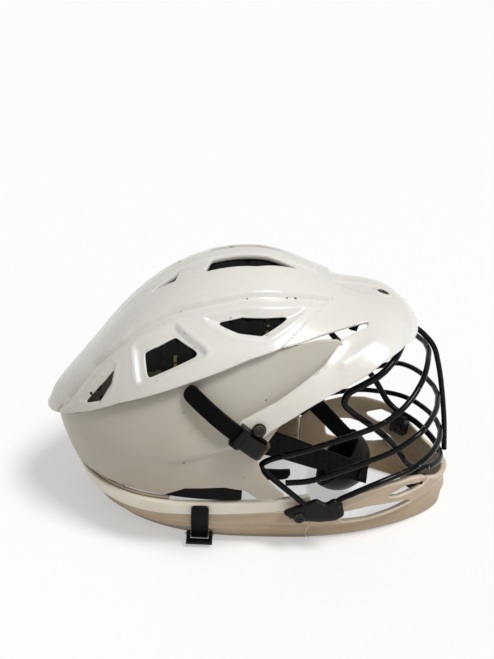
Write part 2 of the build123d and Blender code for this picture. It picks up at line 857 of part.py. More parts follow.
# Rear hooks: two arms on the bar and a cross plate beyond the strap's eye
hook_start = rear_strap_start + rear_strap_width / 2 - rear_hook_width / 2
hook_fall = 12.0 * pi / 180
with BuildPart() as rear_hook:
    with BuildSketch(Plane.YZ.offset(hook_start)):
        with BuildLine():
            reach_y, reach_z = rear_hook_length * cos(hook_fall), rear_hook_length * sin(hook_fall)
            half_thick = rear_hook_thick / 2
            Polyline((-rear_bar_y, rear_bar_z + half_thick),
                     (-rear_bar_y - reach_y, rear_bar_z + half_thick - reach_z),
                     (-rear_bar_y - reach_y, rear_bar_z - half_thick - reach_z),
                     (-rear_bar_y, rear_bar_z - half_thick), close=True)
        make_face()
        with Locations((-rear_bar_y, rear_bar_z)):
            Circle(rear_eye_radius)
            Circle(rear_bar_radius + running_gap, mode=Mode.SUBTRACT)
    extrude(amount=rear_hook_width)
    with BuildSketch(Plane.XY):
        with Locations((rear_strap_start + rear_strap_width / 2,
                        -rear_bar_y + overrun / 2 - rear_eye_radius - rear_arm_width)):
            Rectangle(rear_strap_width + 2 * seam_gap, overrun)
    extrude(amount=crown_height, mode=Mode.SUBTRACT)
keep_pair(rear_hook, "rear_hook")

# Chin cup: a bowl that opens back and up, with its pad inside
cup_shares = (0.4535, 0.1712)
cup_tilt = 35.0
cup_x, cup_z = across(*cup_shares)
cup_axis = Vector(cos(cup_tilt * pi / 180), 0, -sin(cup_tilt * pi / 180))
cup_place = Plane(origin=(cup_x, 0, cup_z), x_dir=(0, 1, 0), z_dir=cup_axis)


def bowl(outer_radius, wall):
    with BuildPart() as dish:
        add(Sphere(outer_radius, mode=Mode.PRIVATE).moved(Location((cup_x, 0, cup_z))))
        add(Sphere(outer_radius - wall, mode=Mode.PRIVATE).moved(Location((cup_x, 0, cup_z))), mode=Mode.SUBTRACT)
        split(bisect_by=cup_place, keep=Keep.TOP)
    return dish


chin_cup = bowl(cup_radius, cup_wall)
with BuildPart() as slotted_cup:
    add(chin_cup.part)
    with BuildSketch(cup_place):
        with GridLocations(cup_radius / 2, 0, 3, 1):
            SlotOverall(cup_radius * cup_slot_share, cup_slot_width, rotation=90)
    extrude(amount=cup_radius, mode=Mode.SUBTRACT)
keep(slotted_cup, "chin_cup")
keep(bowl(cup_radius - cup_wall - pad_seat, cup_pad_wall), "chin_cup_pad")

# Chin straps: bands from the anchors to the cup, bent in plan, slanted from the side
chin_route_shares = [
    (-0.093, -0.8982),
    (-0.0233, -0.8982),
    (0.0814, -0.7611),
    (0.5988, -0.1814),
]
chin_slant_shares = [
    (-0.0988, 0.509),
    (-0.0988, 0.4369),
    (-0.0233, 0.4369),
    (0.5988, 0.1081),
    (0.5988, 0.1937),
    (0.0465, 0.509),
]
with BuildPart() as chin_strap:
    with BuildSketch():
        with BuildLine():
            FilletPolyline(*[above(x, y) for x, y in chin_route_shares], radius=strap_bend)
            offset(amount=chin_strap_thick, side=Side.LEFT)
        make_face()
    extrude(amount=crown_height)
    add(side_prism(chin_slant_shares), mode=Mode.INTERSECT)
keep_pair(chin_strap, "chin_strap")

# Strap anchors on the inner side wall, snaps where the straps meet the cup
anchor_shares = (-0.0465, -0.919, 0.473)
with BuildPart() as strap_anchor:
    with BuildSketch(Plane(origin=spot(*anchor_shares), x_dir=(1, 0, 0), z_dir=(0, 1, 0))):
        Circle(anchor_radius)
    extrude(amount=anchor_thick)
keep_pair(strap_anchor, "strap_anchor")

snap_turn = 53.6 * pi / 180
snap_out = Vector(cos(snap_turn), -sin(snap_turn), 0)
snap_reach = cup_radius + 2 * seam_gap + chin_strap_thick + snap_gap
with BuildPart() as cup_snap:
    with BuildSketch(Plane(origin=cup_place.origin + snap_out * snap_reach, x_dir=(0, 0, 1), z_dir=snap_out)):
        Circle(cup_snap_radius)
    extrude(amount=cup_snap_thick)
keep_pair(cup_snap, "cup_snap")

# Liner pads: layers under the shells, each cut by its side outline
crown_pad_shares = [
    (-0.5581, 0.8649),
    (-0.3488, 0.8919),
    (0.1163, 0.8964),
    (0.2907, 0.8964),
    (0.2907, 1.0811),
    (-0.5581, 1.0811),
]
temple_pad_shares = [
    (-0.6512, 0.6036),
    (-0.6047, 0.7568),
    (-0.3488, 0.8649),
    (0.1977, 0.8784),
    (0.1744, 0.8423),
    (-0.0814, 0.7748),
    (-0.3488, 0.6802),
]
rear_pad_shares = [
    (-0.9884, 0.4955),
    (-0.7907, 0.4955),
    (-0.6744, 0.5495),
    (-0.686, 0.7432),
    (-0.9884, 0.7432),
]
side_pad_shares = [
    (-0.5814, 0.4865),
    (-0.5698, 0.545),
    (-0.3314, 0.6351),
    (-0.1163, 0.7072),
    (-0.1163, 0.5045),
    (-0.3488, 0.4505),
]
brow_pad_shares = [
    (0.3837, 0.7928),
    (0.5233, 0.8288),
    (0.6047, 0.8243),
    (0.6047, 1.0811),
    (0.3837, 1.0811),
]


def pad_layer(shell_loft, rows_shares, wall, pad_wall):
    with BuildPart() as layer:
        add(shell_loft(rows_shares, wall + pad_seat))
        add(shell_loft(rows_shares, wall + pad_seat + pad_wall), mode=Mode.SUBTRACT)
    return layer.part


with BuildPart() as crown_pad:
    add(pad_layer(arch_loft, crown_rows_shares, crown_wall, crown_pad_wall))
    add(side_prism(crown_pad_shares), mode=Mode.INTERSECT)
keep(crown_pad, "crown_pad")

with BuildPart() as rear_pad:
    add(pad_layer(arch_loft, crown_rows_shares, crown_wall, crown_pad_wall))
    add(side_prism(rear_pad_shares), mode=Mode.INTERSECT)
keep(rear_pad, "rear_pad")

with BuildPart() as brow_pad:
    add(pad_layer(arch_loft, visor_rows_shares, visor_wall + nut_top, brow_pad_wall))
    add(side_prism(brow_pad_shares), mode=Mode.INTERSECT)
    add(bore(visor_screw_place, nut_radius + pad_seat, 0, overrun), mode=Mode.SUBTRACT)
keep(brow_pad, "brow_pad")


# The near half of a layer
def near_half():
    with BuildPart() as half:
        with BuildSketch(Plane.XZ):
            Rectangle(4 * tail_reach, 4 * crown_height)
        extrude(amount=2 * half_width)
    return half.part


with BuildPart() as temple_pad:
    add(pad_layer(arch_loft, crown_rows_shares, crown_wall + seam_gap, temple_pad_wall))
    add(side_prism(temple_pad_shares), mode=Mode.INTERSECT)
    add(near_half(), mode=Mode.INTERSECT)
keep_pair(temple_pad, "temple_pad")

with BuildPart() as side_pad:
    add(pad_layer(plan_loft, side_rows_shares, side_wall, side_pad_wall))
    add(side_prism(side_pad_shares), mode=Mode.INTERSECT)
    add(near_half(), mode=Mode.INTERSECT)
keep_pair(side_pad, "side_pad")

# Jaw pads: a block behind the shell's edge with a lobe that reaches forward
jaw_block_shares = [
    (-0.3023, 0.3288),
    (-0.2907, 0.4054),
    (-0.1163, 0.4054),
    (-0.0465, 0.3288),
]
jaw_lobe_shares = [
    (-0.2558, 0.2613),
    (-0.2558, 0.3604),
    (-0.0581, 0.3604),
    (0.0465, 0.3153),
    (0.1919, 0.3153),
    (0.1919, 0.2613),
]
with BuildPart() as jaw_lobe:
    add(pad_layer(plan_loft, side_rows_shares, side_wall + jaw_lobe_inset, jaw_pad_wall))
    add(side_prism(jaw_lobe_shares), mode=Mode.INTERSECT)
with BuildPart() as jaw_pad:
    add(pad_layer(plan_loft, side_rows_shares, side_wall, jaw_lobe_inset + jaw_pad_wall))
    add(side_prism(jaw_block_shares), mode=Mode.INTERSECT)
    add(jaw_lobe.part)
    add(near_half(), mode=Mode.INTERSECT)
keep_pair(jaw_pad, "jaw_pad")

# Nape cradle: a curved pad on a tongue that slides in a guide on the rear wall
cradle_shares = [
    (-1, 0.2432),
    (-1, 0.3784),
    (-0.5698, 0.3604),
    (-0.6047, 0.2703),
]
guide_centre_share = 0.306
guide_front_share = -0.782
cradle_back_inset = 24.0
guide_z = guide_centre_share * crown_height
tongue_width = guide_width - 2 * guide_wall - 2 * tongue_gap
tongue_height = guide_height - 2 * guide_wall - 2 * tongue_gap
with BuildPart() as cradle_guide:
    with BuildSketch(Plane.YZ.offset(guide_front_share * tail_reach)):
        with Locations((0, guide_z)):
            Rectangle(guide_width, guide_height)
            Rectangle(guide_width - 2 * guide_wall, guide_height - 2 * guide_wall, mode=Mode.SUBTRACT)
    extrude(amount=-overrun)
    add(plan_loft(side_rows_shares, side_wall + seam_gap), mode=Mode.INTERSECT)
keep(cradle_guide, "cradle_guide")

with BuildPart() as nape_cradle:
    add(pad_layer(plan_loft, side_rows_shares, side_wall + cradle_back_inset, cradle_wall))
    add(side_prism(cradle_shares), mode=Mode.INTERSECT)
    with BuildSketch(Plane.YZ.offset(guide_front_share * tail_reach + cradle_wall)):
        with Locations((0, guide_z)):
            Rectangle(tongue_width, tongue_height)
    extrude(amount=-cradle_wall - tongue_length)
keep(nape_cradle, "nape_cradle")
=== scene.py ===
import math
import bpy
import numpy as np
from mathutils import Matrix, Vector


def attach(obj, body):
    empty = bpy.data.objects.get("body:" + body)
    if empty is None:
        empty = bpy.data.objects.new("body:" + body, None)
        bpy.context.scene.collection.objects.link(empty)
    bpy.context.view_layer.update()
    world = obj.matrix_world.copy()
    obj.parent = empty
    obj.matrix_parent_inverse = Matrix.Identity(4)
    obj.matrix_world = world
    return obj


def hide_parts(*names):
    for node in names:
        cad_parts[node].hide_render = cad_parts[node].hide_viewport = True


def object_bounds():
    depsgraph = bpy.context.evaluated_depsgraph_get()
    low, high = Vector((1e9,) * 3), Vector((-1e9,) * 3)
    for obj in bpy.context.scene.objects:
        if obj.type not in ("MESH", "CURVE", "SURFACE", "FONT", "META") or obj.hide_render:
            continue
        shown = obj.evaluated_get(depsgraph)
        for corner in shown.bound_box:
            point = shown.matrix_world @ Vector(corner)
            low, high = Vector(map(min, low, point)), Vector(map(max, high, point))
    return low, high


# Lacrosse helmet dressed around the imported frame. Tables below are in millimetres.
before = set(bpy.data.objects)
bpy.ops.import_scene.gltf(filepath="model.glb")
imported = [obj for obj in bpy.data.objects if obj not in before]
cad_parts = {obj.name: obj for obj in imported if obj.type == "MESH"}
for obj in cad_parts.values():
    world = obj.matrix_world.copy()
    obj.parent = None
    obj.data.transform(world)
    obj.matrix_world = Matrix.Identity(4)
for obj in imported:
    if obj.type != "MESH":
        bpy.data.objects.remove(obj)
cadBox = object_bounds()
mm = 0.001
print("frame loaded:", len(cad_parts), "nodes")


# ---- node and colour helpers
def linearColour(hexText):
    values = [int(hexText[k:k + 2], 16) / 255 for k in (1, 3, 5)]
    return tuple(v / 12.92 if v <= 0.04045 else ((v + 0.055) / 1.055) ** 2.4 for v in values) + (1.0,)


def addNode(tree, kind, inputs=None, **settings):
    node = tree.nodes.new("ShaderNode" + kind)
    for name, value in settings.items():
        setattr(node, name, value)
    for key, value in (inputs or {}).items():
        if isinstance(value, bpy.types.NodeSocket):
            tree.links.new(value, node.inputs[key])
        else:
            node.inputs[key].default_value = value
    return node


def mathNode(tree, operation, *values):
    return addNode(tree, "Math", dict(enumerate(values)), operation=operation).outputs[0]


def addObject(name, data):
    piece = bpy.data.objects.new(name, data)
    bpy.context.scene.collection.objects.link(piece)
    return piece


# One finish from its look: a base colour with slow patches, painted shade lower down, specks, fine scuffs, tinted
# rims (wear, and a painted highlight on the nylon trim) and a grain.
# Each entry is a colour, its size or place in millimetres, then its share. Capital keys go to the shader.
def makeFinish(name, look):
    material = bpy.data.materials.new(name)
    material.use_nodes = True
    tree = material.node_tree
    shader = tree.nodes["Principled BSDF"]
    for key in set(look) & set(shader.inputs.keys()):
        shader.inputs[key].default_value = look[key]
    coords = addNode(tree, "TexCoord").outputs["UV" if "weave" in look else "Object"]

    def noise(size, detail, roughness=0.5, vector=coords):
        return addNode(tree, "TexNoise", {"Vector": vector, "Scale": 1 / (size * mm), "Detail": detail,
                                          "Roughness": roughness}).outputs["Fac"]

    def ramp(value, low, high, start, end):
        return addNode(tree, "MapRange", {"Value": value, "From Min": low, "From Max": high,
                                          "To Min": start, "To Max": end}).outputs[0]

    def blend(mask, under, hexText):
        return addNode(tree, "Mix", {0: mask, 6: under, 7: linearColour(hexText)}, data_type="RGBA").outputs[2]

    hexText, size, share = look["patch"]
    patch = noise(size, 3.0, 0.55)
    colour = blend(ramp(patch, 0.36, 0.68, 0.0, share), linearColour(look["base"]), hexText)
    if "low" in look:  # painted shade: darker and warmer lower down, where less light falls
        hexText, top, bottom, share = look["low"]
        level = addNode(tree, "SeparateXYZ", {0: coords}).outputs["Z"]
        colour = blend(ramp(level, top * mm, bottom * mm, 0.0, share), colour, hexText)
    if "stain" in look:  # a slow stain in one place, such as where a strap rubs
        hexText, place, size, share = look["stain"]
        offset = addNode(tree, "VectorMath", {0: coords, 1: Vector(place) * mm},
                         operation="DISTANCE").outputs["Value"]
        reach = mathNode(tree, "MULTIPLY", offset, ramp(patch, 0.3, 0.7, 0.6, 1.5))
        colour = blend(ramp(reach, 0.0, size * mm, share, 0.0), colour, hexText)
    hexText, size, threshold, share = look["speck"]
    colour = blend(ramp(noise(size, 1.0), threshold, threshold + 0.03, 0.0, share), colour, hexText)
    slanted = addNode(tree, "Mapping", {"Vector": coords, "Rotation": (0.4, 0.9, 0.3),
                                        "Scale": (1.0, 1.0, 14.0)}).outputs[0]
    hexText, size, share = look["scuff"]
    scuffMask = ramp(noise(size, 4.0, 0.65, slanted), 0.64, 0.72, 0.0, share)
    colour = blend(scuffMask, colour, hexText)
    if "wear" in look:  # the rims carry an edge value on the modelled sheets; their tint is wear, and on the tan and cream nylon a painted highlight
        hexText, share = look["wear"]
        edge = addNode(tree, "Attribute", attribute_name="edge").outputs["Fac"]
        colour = blend(ramp(mathNode(tree, "MULTIPLY", edge, patch), 0.2, 0.6, 0.0, share), colour, hexText)
    tree.links.new(colour, shader.inputs["Base Color"])
    rougher = mathNode(tree, "MULTIPLY_ADD", scuffMask, 0.25, ramp(patch, 0.3, 0.7, *look["roughness"]))
    tree.links.new(rougher, shader.inputs["Roughness"])
    size, strength, depth = look["grain"]
    if "weave" in look:  # threads across each other, as heights
        warp, weft = (addNode(tree, "TexWave", {"Vector": coords, "Scale": 1 / (period * mm) / 10, "Distortion": 0.0},
                              bands_direction=way).outputs["Fac"] for period, way in zip(look["weave"], "XY"))
        grain = mathNode(tree, "MULTIPLY", warp, weft)
    else:
        grain = noise(size, 2.0)
    bump = addNode(tree, "Bump", {"Height": grain, "Strength": strength, "Distance": depth * mm}).outputs[0]
    size, depth = look["wave"]
    bump = addNode(tree, "Bump", {"Height": noise(size, 1.0), "Strength": 0.5, "Distance": depth * mm,
                                  "Normal": bump}).outputs[0]
    tree.links.new(bump, shader.inputs["Normal"])
    return material


finishes = {
    # Moulded polycarbonate, white gone warm: soft gloss, faint waves, dark specks and hair scuffs, with painted shade
    # darkening it lower down
    "mouldedPolycarbonateWhite": {
        "IOR": 1.58, "Coat Weight": 0.15, "Coat Roughness": 0.2, "roughness": (0.2, 0.3), "base": "#e3e0da",
        "patch": ("#dad5cb", 70, 0.5), "low": ("#b5afa2", 172, 95, 0.75), "speck": ("#6d6559", 5.5, 0.785, 0.6),
        "scuff": ("#b9b2a5", 26, 0.35), "wear": ("#c4bbab", 0.35), "grain": (0.9, 0.12, 0.05), "wave": (45, 0.35)},
    # The same white on the lower shell, painted darker and more yellow as painted shade, more so lower down: flatter
    # sheen, a stain, more grime by the rims
    "mouldedPolycarbonateDusty": {
        "IOR": 1.58, "roughness": (0.32, 0.44), "base": "#bcb7ad", "patch": ("#b2aa9c", 60, 0.6),
        "low": ("#9d907b", 150, 48, 0.75), "stain": ("#c9b77f", (-40, -112, 128), 22, 0.35),
        "speck": ("#5e5648", 5, 0.775, 0.8), "scuff": ("#aaa08f", 24, 0.4), "wear": ("#a99a83", 0.5),
        "grain": (0.9, 0.15, 0.05), "wave": (50, 0.3)},
    # Moulded nylon in tan: satin, rims painted paler as painted highlight, painted shade making it browner towards
    # the floor
    "mouldedNylonTan": {
        "IOR": 1.53, "roughness": (0.32, 0.46), "base": "#bca991", "patch": ("#aa9377", 48, 0.7),
        "low": ("#947c5c", 34, 2, 0.8), "speck": ("#5b4731", 4.5, 0.76, 0.6), "scuff": ("#8c7654", 20, 0.45),
        "wear": ("#e0d5c1", 0.75), "grain": (0.8, 0.2, 0.06), "wave": (30, 0.25)},
    # The same nylon in cream, for the band under the shell; its rims are painted paler as painted highlight
    "mouldedNylonCream": {
        "IOR": 1.53, "roughness": (0.32, 0.46), "base": "#e0d8c8", "patch": ("#d0c5ae", 50, 0.6),
        "speck": ("#5b4a36", 4.5, 0.765, 0.6), "scuff": ("#9e8c6d", 22, 0.45), "wear": ("#e6decd", 0.65),
        "grain": (0.8, 0.2, 0.05), "wave": (36, 0.25)},
    # Powder coated steel wire, black: wet gloss with a faint orange peel, chipped to grey
    "powderCoatedSteel": {
        "IOR": 1.5, "Specular IOR Level": 0.16, "roughness": (0.1, 0.2), "base": "#050404",
        "patch": ("#0b0907", 22, 0.8), "speck": ("#8c8880", 3.2, 0.735, 0.75), "scuff": ("#4b4740", 14, 0.5),
        "grain": (1.6, 0.3, 0.08), "wave": (12, 0.12)},
    # Moulded nylon, black: soft sheen, brown dust in a spark eroded grain
    "mouldedNylonBlack": {
        "IOR": 1.53, "Specular IOR Level": 0.2, "roughness": (0.3, 0.46), "base": "#090807",
        "patch": ("#120f0b", 16, 0.8), "speck": ("#6d6253", 2.8, 0.75, 0.5), "scuff": ("#4a4135", 9, 0.45),
        "grain": (0.6, 0.35, 0.06), "wave": (10, 0.12)},
    # Black oxide steel screws: dark, a dull glint, bare in spots
    "blackOxideSteel": {
        "Metallic": 0.85, "roughness": (0.32, 0.5), "base": "#2b2a29", "patch": ("#3d3a36", 5, 0.8),
        "speck": ("#8e8a84", 1.6, 0.7, 0.7), "scuff": ("#77726a", 4, 0.5), "grain": (0.5, 0.3, 0.04),
        "wave": (4, 0.05)},
    # Drawn steel rod, bare: bright, with fine lines and small dull spots
    "drawnSteel": {
        "Metallic": 1.0, "roughness": (0.22, 0.38), "base": "#b9b5ac", "patch": ("#96918a", 6, 0.6),
        "speck": ("#5f5549", 1.5, 0.7, 0.7), "scuff": ("#6c665c", 5, 0.5), "grain": (0.4, 0.3, 0.03),
        "wave": (5, 0.05)},
    # Plated brass, rubbed dull: brown in the low spots
    "platedBrass": {
        "Metallic": 1.0, "roughness": (0.28, 0.45), "base": "#6b5b42", "patch": ("#4b4030", 4, 0.7),
        "speck": ("#46341f", 1.4, 0.68, 0.7), "scuff": ("#94805c", 4, 0.5), "grain": (0.5, 0.25, 0.03),
        "wave": (4, 0.05)},
    # The same brass inside the helmet, painted nearly brown as painted shade: a faint yellow glint
    "brassInPaintedShade": {
        "Metallic": 1.0, "roughness": (0.35, 0.5), "base": "#3d362b", "patch": ("#29241d", 4, 0.8),
        "speck": ("#1f1910", 1.4, 0.66, 0.7), "scuff": ("#6a5c45", 4, 0.4), "grain": (0.5, 0.25, 0.03),
        "wave": (4, 0.05)},
    # Moulded rubber strap: matt black with a fine tooth and dusty rims
    "mouldedRubberBlack": {
        "IOR": 1.52, "Specular IOR Level": 0.06, "roughness": (0.44, 0.6), "base": "#030405",
        "patch": ("#080808", 14, 0.7), "speck": ("#4a463f", 2.4, 0.76, 0.5), "scuff": ("#2e2c28", 10, 0.5),
        "wear": ("#37332c", 0.5), "grain": (0.5, 0.35, 0.05), "wave": (9, 0.1)},
    # Woven nylon webbing: threads drawn coarse so that the ribs show, soft edge sheen
    "wovenNylonWebbing": {
        "Sheen Weight": 0.05, "Sheen Roughness": 0.4, "Specular IOR Level": 0.12, "roughness": (0.6, 0.8),
        "weave": (2.6, 1.3), "base": "#070707", "patch": ("#0f0e0e", 12, 0.8), "speck": ("#3b3732", 2, 0.74, 0.4),
        "scuff": ("#2b2926", 8, 0.4), "grain": (1.3, 0.9, 0.35), "wave": (12, 0.1)},
    # Foam under brushed knit, black: deep matt with a soft nap at the edges
    "brushedKnitFoam": {
        "Sheen Weight": 0.06, "Sheen Roughness": 0.5, "Specular IOR Level": 0.1, "roughness": (0.75, 0.92),
        "base": "#090909", "patch": ("#131211", 10, 0.9), "speck": ("#4b4741", 2.2, 0.75, 0.4),
        "scuff": ("#2a2825", 7, 0.5), "grain": (0.7, 0.7, 0.18), "wave": (8, 0.35)},
    # Closed cell foam, bare, olive: 0.8 mm pores, dull and a little translucent
    "closedCellFoamOlive": {
        "Subsurface Weight": 0.05, "roughness": (0.72, 0.9), "base": "#5d551f", "patch": ("#474016", 9, 0.8),
        "speck": ("#4c4311", 1.8, 0.62, 0.5), "scuff": ("#6b6020", 6, 0.4), "grain": (0.8, 0.6, 0.25),
        "wave": (7, 0.4)},
}
finish = {name: makeFinish(name, look) for name, look in finishes.items()}
print("finishes made:", len(finish))

# Finishes of the frame nodes that stay as they are
nodeLooks = {
    "powderCoatedSteel": ["mask_frame", "mask_bar_top", "mask_bar_middle", "mask_bar_lower", "mask_bar_centre"],
    "blackOxideSteel": ["visor_screw", "visor_nut", "side_clip_screw", "inner_clip_screw", "snap_stud"],
    "mouldedNylonBlack": ["chin_cup", "cradle_guide", "inner_clip", "side_buckle", "rear_hook"],
    "drawnSteel": ["rear_bar"], "platedBrass": ["buckle_pin"], "brassInPaintedShade": ["cup_snap", "strap_anchor"],
}
for look, names in nodeLooks.items():
    for name in names:
        for ending in ("_right", "_left") if name + "_right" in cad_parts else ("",):
            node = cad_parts[name + ending]
            for materialSlot in node.material_slots:
                materialSlot.link = "OBJECT"
                materialSlot.material = finish[look]
            if not node.material_slots:
                node.data.materials.append(finish[look])


# ---- curves and outlines
def smoothThrough(xs, ys):  # natural cubic through the rows
    count, gaps = len(xs), np.diff(xs)
    matrix, right = np.zeros((count, count)), np.zeros(count)
    matrix[0, 0] = matrix[-1, -1] = 1
    for i in range(1, count - 1):
        matrix[i, i - 1:i + 2] = gaps[i - 1], 2 * (gaps[i - 1] + gaps[i]), gaps[i]
        right[i] = 6 * ((ys[i + 1] - ys[i]) / gaps[i] - (ys[i] - ys[i - 1]) / gaps[i - 1])
    bend = np.linalg.solve(matrix, right)

    def value(x):
        i = np.clip(np.searchsorted(xs, x) - 1, 0, count - 2)
        before, after, gap = xs[i + 1] - x, x - xs[i], gaps[i]
        return ((bend[i] * before ** 3 + bend[i + 1] * after ** 3) / (6 * gap)
                + (ys[i] / gap - bend[i] * gap / 6) * before + (ys[i + 1] / gap - bend[i + 1] * gap / 6) * after)
    return value


def roundCorners(points, radius, steps=5):
    rounded, points = [], [np.array(p, float) for p in points]
    for i, corner in enumerate(points):
        before, after = points[i - 1], points[(i + 1) % len(points)]
        runIn, runOut = np.linalg.norm(before - corner), np.linalg.norm(after - corner)
        cosine = np.dot(before - corner, after - corner) / (runIn * runOut)
        half = math.acos(max(-1, min(1, cosine))) / 2
        reach = min(radius / max(math.tan(half), 1e-3), 0.45 * runIn, 0.45 * runOut)
        start, end = corner + (before - corner) / runIn * reach, corner + (after - corner) / runOut * reach
        rounded += [(1 - s) ** 2 * start + 2 * s * (1 - s) * corner + s * s * end
                    for s in (k / steps for k in range(steps + 1))]
    return np.array(rounded)


def fromRun(points, start, run):  # distance of each point to a straight run
    share = np.clip(((points - start) @ run) / (run @ run), 0, 1)
    return np.linalg.norm(points - start - share[:, None] * run, axis=1)


def insideBy(flat, outline):  # distance to the outline, positive inside
    best, crossings = np.full(len(flat), 1e9), np.zeros(len(flat), int)
    for a, b in zip(outline, np.roll(outline, -1, 0)):
        run = b - a
        if run @ run < 1e-12:
            continue
        best = np.minimum(best, fromRun(flat, a, run))
        if a[1] != b[1]:
            straddles = (a[1] > flat[:, 1]) != (b[1] > flat[:, 1])
            crossings += straddles & (flat[:, 0] < a[0] + (flat[:, 1] - a[1]) * run[0] / run[1])
    return np.where(crossings % 2 == 1, best, -best)


def distanceTo(path, points):  # distance to a run of points on either side of the helmet
    folded = np.stack([points[:, 0], -np.abs(points[:, 1]), points[:, 2]], 1)
    path = np.array(path, float)
    return np.min([fromRun(folded, a, b - a) for a, b in zip(path, path[1:])], axis=0)


def ease(value, start, end):
    share = np.clip((value - start) / (end - start), 0, 1)
    return share * share * (3 - 2 * share)


def bell(distance, width):
    return np.exp(-(distance / width) ** 2)


# ---- sheets: a surface over two ways, cut by a margin whose zero is the outline
def vertexNormals(points, faces):
    normals = np.zeros_like(points)
    for size in (3, 4):
        rows = np.array([f for f in faces if len(f) == size], int)
        if len(rows):
            cross = np.cross(points[rows[:, 2]] - points[rows[:, 0]],
                             points[rows[:, 3 % size]] - points[rows[:, 1]])
            for k in range(size):
                np.add.at(normals, rows[:, k], cross)
    return normals / np.maximum(np.linalg.norm(normals, axis=1), 1e-12)[:, None]


def cutSheet(surface, us, vs, margin):
    rowsU, rowsV = np.meshgrid(np.arange(len(us), dtype=float), np.arange(len(vs), dtype=float), indexing="ij")

    def place(i, j):
        u, v = np.interp(i, np.arange(len(us)), us), np.interp(j, np.arange(len(vs)), vs)
        return surface(u.ravel(), v.ravel())
    values = margin(place(rowsU, rowsV)).reshape(rowsU.shape)
    slopeU, slopeV = np.gradient(values)
    near = np.abs(values) <= 0.52 * np.maximum(np.abs(slopeU), np.abs(slopeV))
    for _ in range(3):  # move the near points onto the outline
        steep = np.maximum(slopeU ** 2 + slopeV ** 2, 1e-9)
        rowsU = np.where(near, rowsU - np.clip(values * slopeU / steep, -0.6, 0.6), rowsU)
        rowsV = np.where(near, rowsV - np.clip(values * slopeV / steep, -0.6, 0.6), rowsV)
        rowsU, rowsV = np.clip(rowsU, 0, len(us) - 1), np.clip(rowsV, 0, len(vs) - 1)
        values = margin(place(rowsU, rowsV)).reshape(rowsU.shape)
    points = place(rowsU, rowsV)
    good = ((values > 0) | near).ravel()
    index = np.arange(len(points)).reshape(rowsU.shape)
    rings = ([index[i, j], index[i + 1, j], index[i + 1, j + 1], index[i, j + 1]]
             for i in range(len(us) - 1) for j in range(len(vs) - 1))
    faces = [kept for kept in ([k for k in ring if good[k]] for ring in rings) if len(kept) >= 3]
    centres = np.array([points[f].mean(0) for f in faces])
    inside = margin(centres) > -0.12
    faces = [f for f, keep in zip(faces, inside) if keep]
    used = np.unique(np.concatenate([np.array(f) for f in faces]))
    renumber = -np.ones(len(points), int)
    renumber[used] = np.arange(len(used))
    return points[used], [[int(renumber[k]) for k in f] for f in faces]


def flatSheet(us, vs, outline, rim):
    return cutSheet(lambda u, v: np.stack([u, v, 0 * u], -1), us, vs,
                    lambda points: insideBy(points[:, :2], outline) - rim)


def sideFlat(points):
    return points[:, [0, 2]]


def topFlat(points):
    return np.stack([points[:, 0], np.abs(points[:, 1])], 1)


# Positive within an outline and clear of its holes, both in side view
def sideMargin(outline, rim, holes=()):
    def margin(points):
        value = insideBy(sideFlat(points), outline) - rim
        for hole in holes:
            value = np.minimum(value, -insideBy(sideFlat(points), hole) - rim)
        return value
    return margin


def makeObject(name, points, faces, materialName, edge=None, uvs=None):
    mesh = bpy.data.meshes.new(name)
    mesh.from_pydata((np.asarray(points) * mm).tolist(), [], faces)
    mesh.polygons.foreach_set("use_smooth", [True] * len(mesh.polygons))
    if edge is not None:
        mesh.attributes.new("edge", "FLOAT", "POINT").data.foreach_set("value", np.asarray(edge, np.float32))
    if uvs is not None:
        layer = mesh.uv_layers.new(name="strapWeave")
        corners = np.zeros(len(mesh.loops), int)
        mesh.loops.foreach_get("vertex_index", corners)
        layer.data.foreach_set("uv", (np.asarray(uvs)[corners] * mm).astype(np.float32).ravel())
    mesh.validate()
    mesh.materials.append(finish[materialName])
    return addObject(name, mesh)


leastWall = 1.6  # what a deep recess leaves of a wall
rimRounds = 5


# A sheet gets its relief outward, its wall inward and a round rim between them
def thickSheet(points, faces, look, relief=None):
    wall, rim = look["wall"], look["rim"]
    normals = vertexNormals(points, faces)
    if np.sum(normals * (points - np.array(look.get("outwardFrom", (0, 0, 90))))) < 0:
        faces = [f[::-1] for f in faces]
        normals = -normals
    lift = relief(points) if relief is not None else np.zeros(len(points))
    outer = points + normals * lift[:, None]
    inner = points - normals * np.maximum(wall, leastWall - lift)[:, None]
    directed = dict.fromkeys((a, b) for f in faces for a, b in zip(f, f[1:] + f[:1]))
    border = [(a, b) for a, b in directed if (b, a) not in directed]
    outward = np.zeros_like(points)
    for a, b in border:
        away = np.cross(points[b] - points[a], normals[a] + normals[b])
        outward[a] += away
        outward[b] += away
    rimIds = sorted({k for pair in border for k in pair})
    length = np.linalg.norm(outward[rimIds], axis=1)
    outward[rimIds] /= np.maximum(length, 1e-9)[:, None]
    count = len(points)
    rings = [dict(zip(rimIds, rimIds))]
    allPoints, edge = [outer, inner], [np.zeros(count), np.zeros(count)]
    edge[0][rimIds] = 0.8
    total = 2 * count
    middle, halfWall = (outer[rimIds] + inner[rimIds]) / 2, (outer[rimIds] - inner[rimIds]) / 2
    for k in range(1, rimRounds):
        angle = math.pi * k / rimRounds
        allPoints.append(middle + halfWall * math.cos(angle) + outward[rimIds] * rim * math.sin(angle))
        edge.append(np.ones(len(rimIds)))
        rings.append({v: total + n for n, v in enumerate(rimIds)})
        total += len(rimIds)
    rings.append({v: count + v for v in rimIds})
    allFaces = list(faces) + [[count + k for k in f[::-1]] for f in faces]
    for first, second in zip(rings, rings[1:]):
        allFaces += [[first[b], first[a], second[a], second[b]] for a, b in border]
    return np.concatenate(allPoints), allFaces, np.concatenate(edge)


def mirrored(points, faces):
    return points * np.array([1, -1, 1]), [f[::-1] for f in faces]


# A look says which body a piece rides and which node it replaces
def declare(piece, look, side=""):
    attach(piece, look.get("body", "shell").replace("SIDE", side))
    if "node" in look:
        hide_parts(f"{look['node']}_{side}" if side else look["node"])


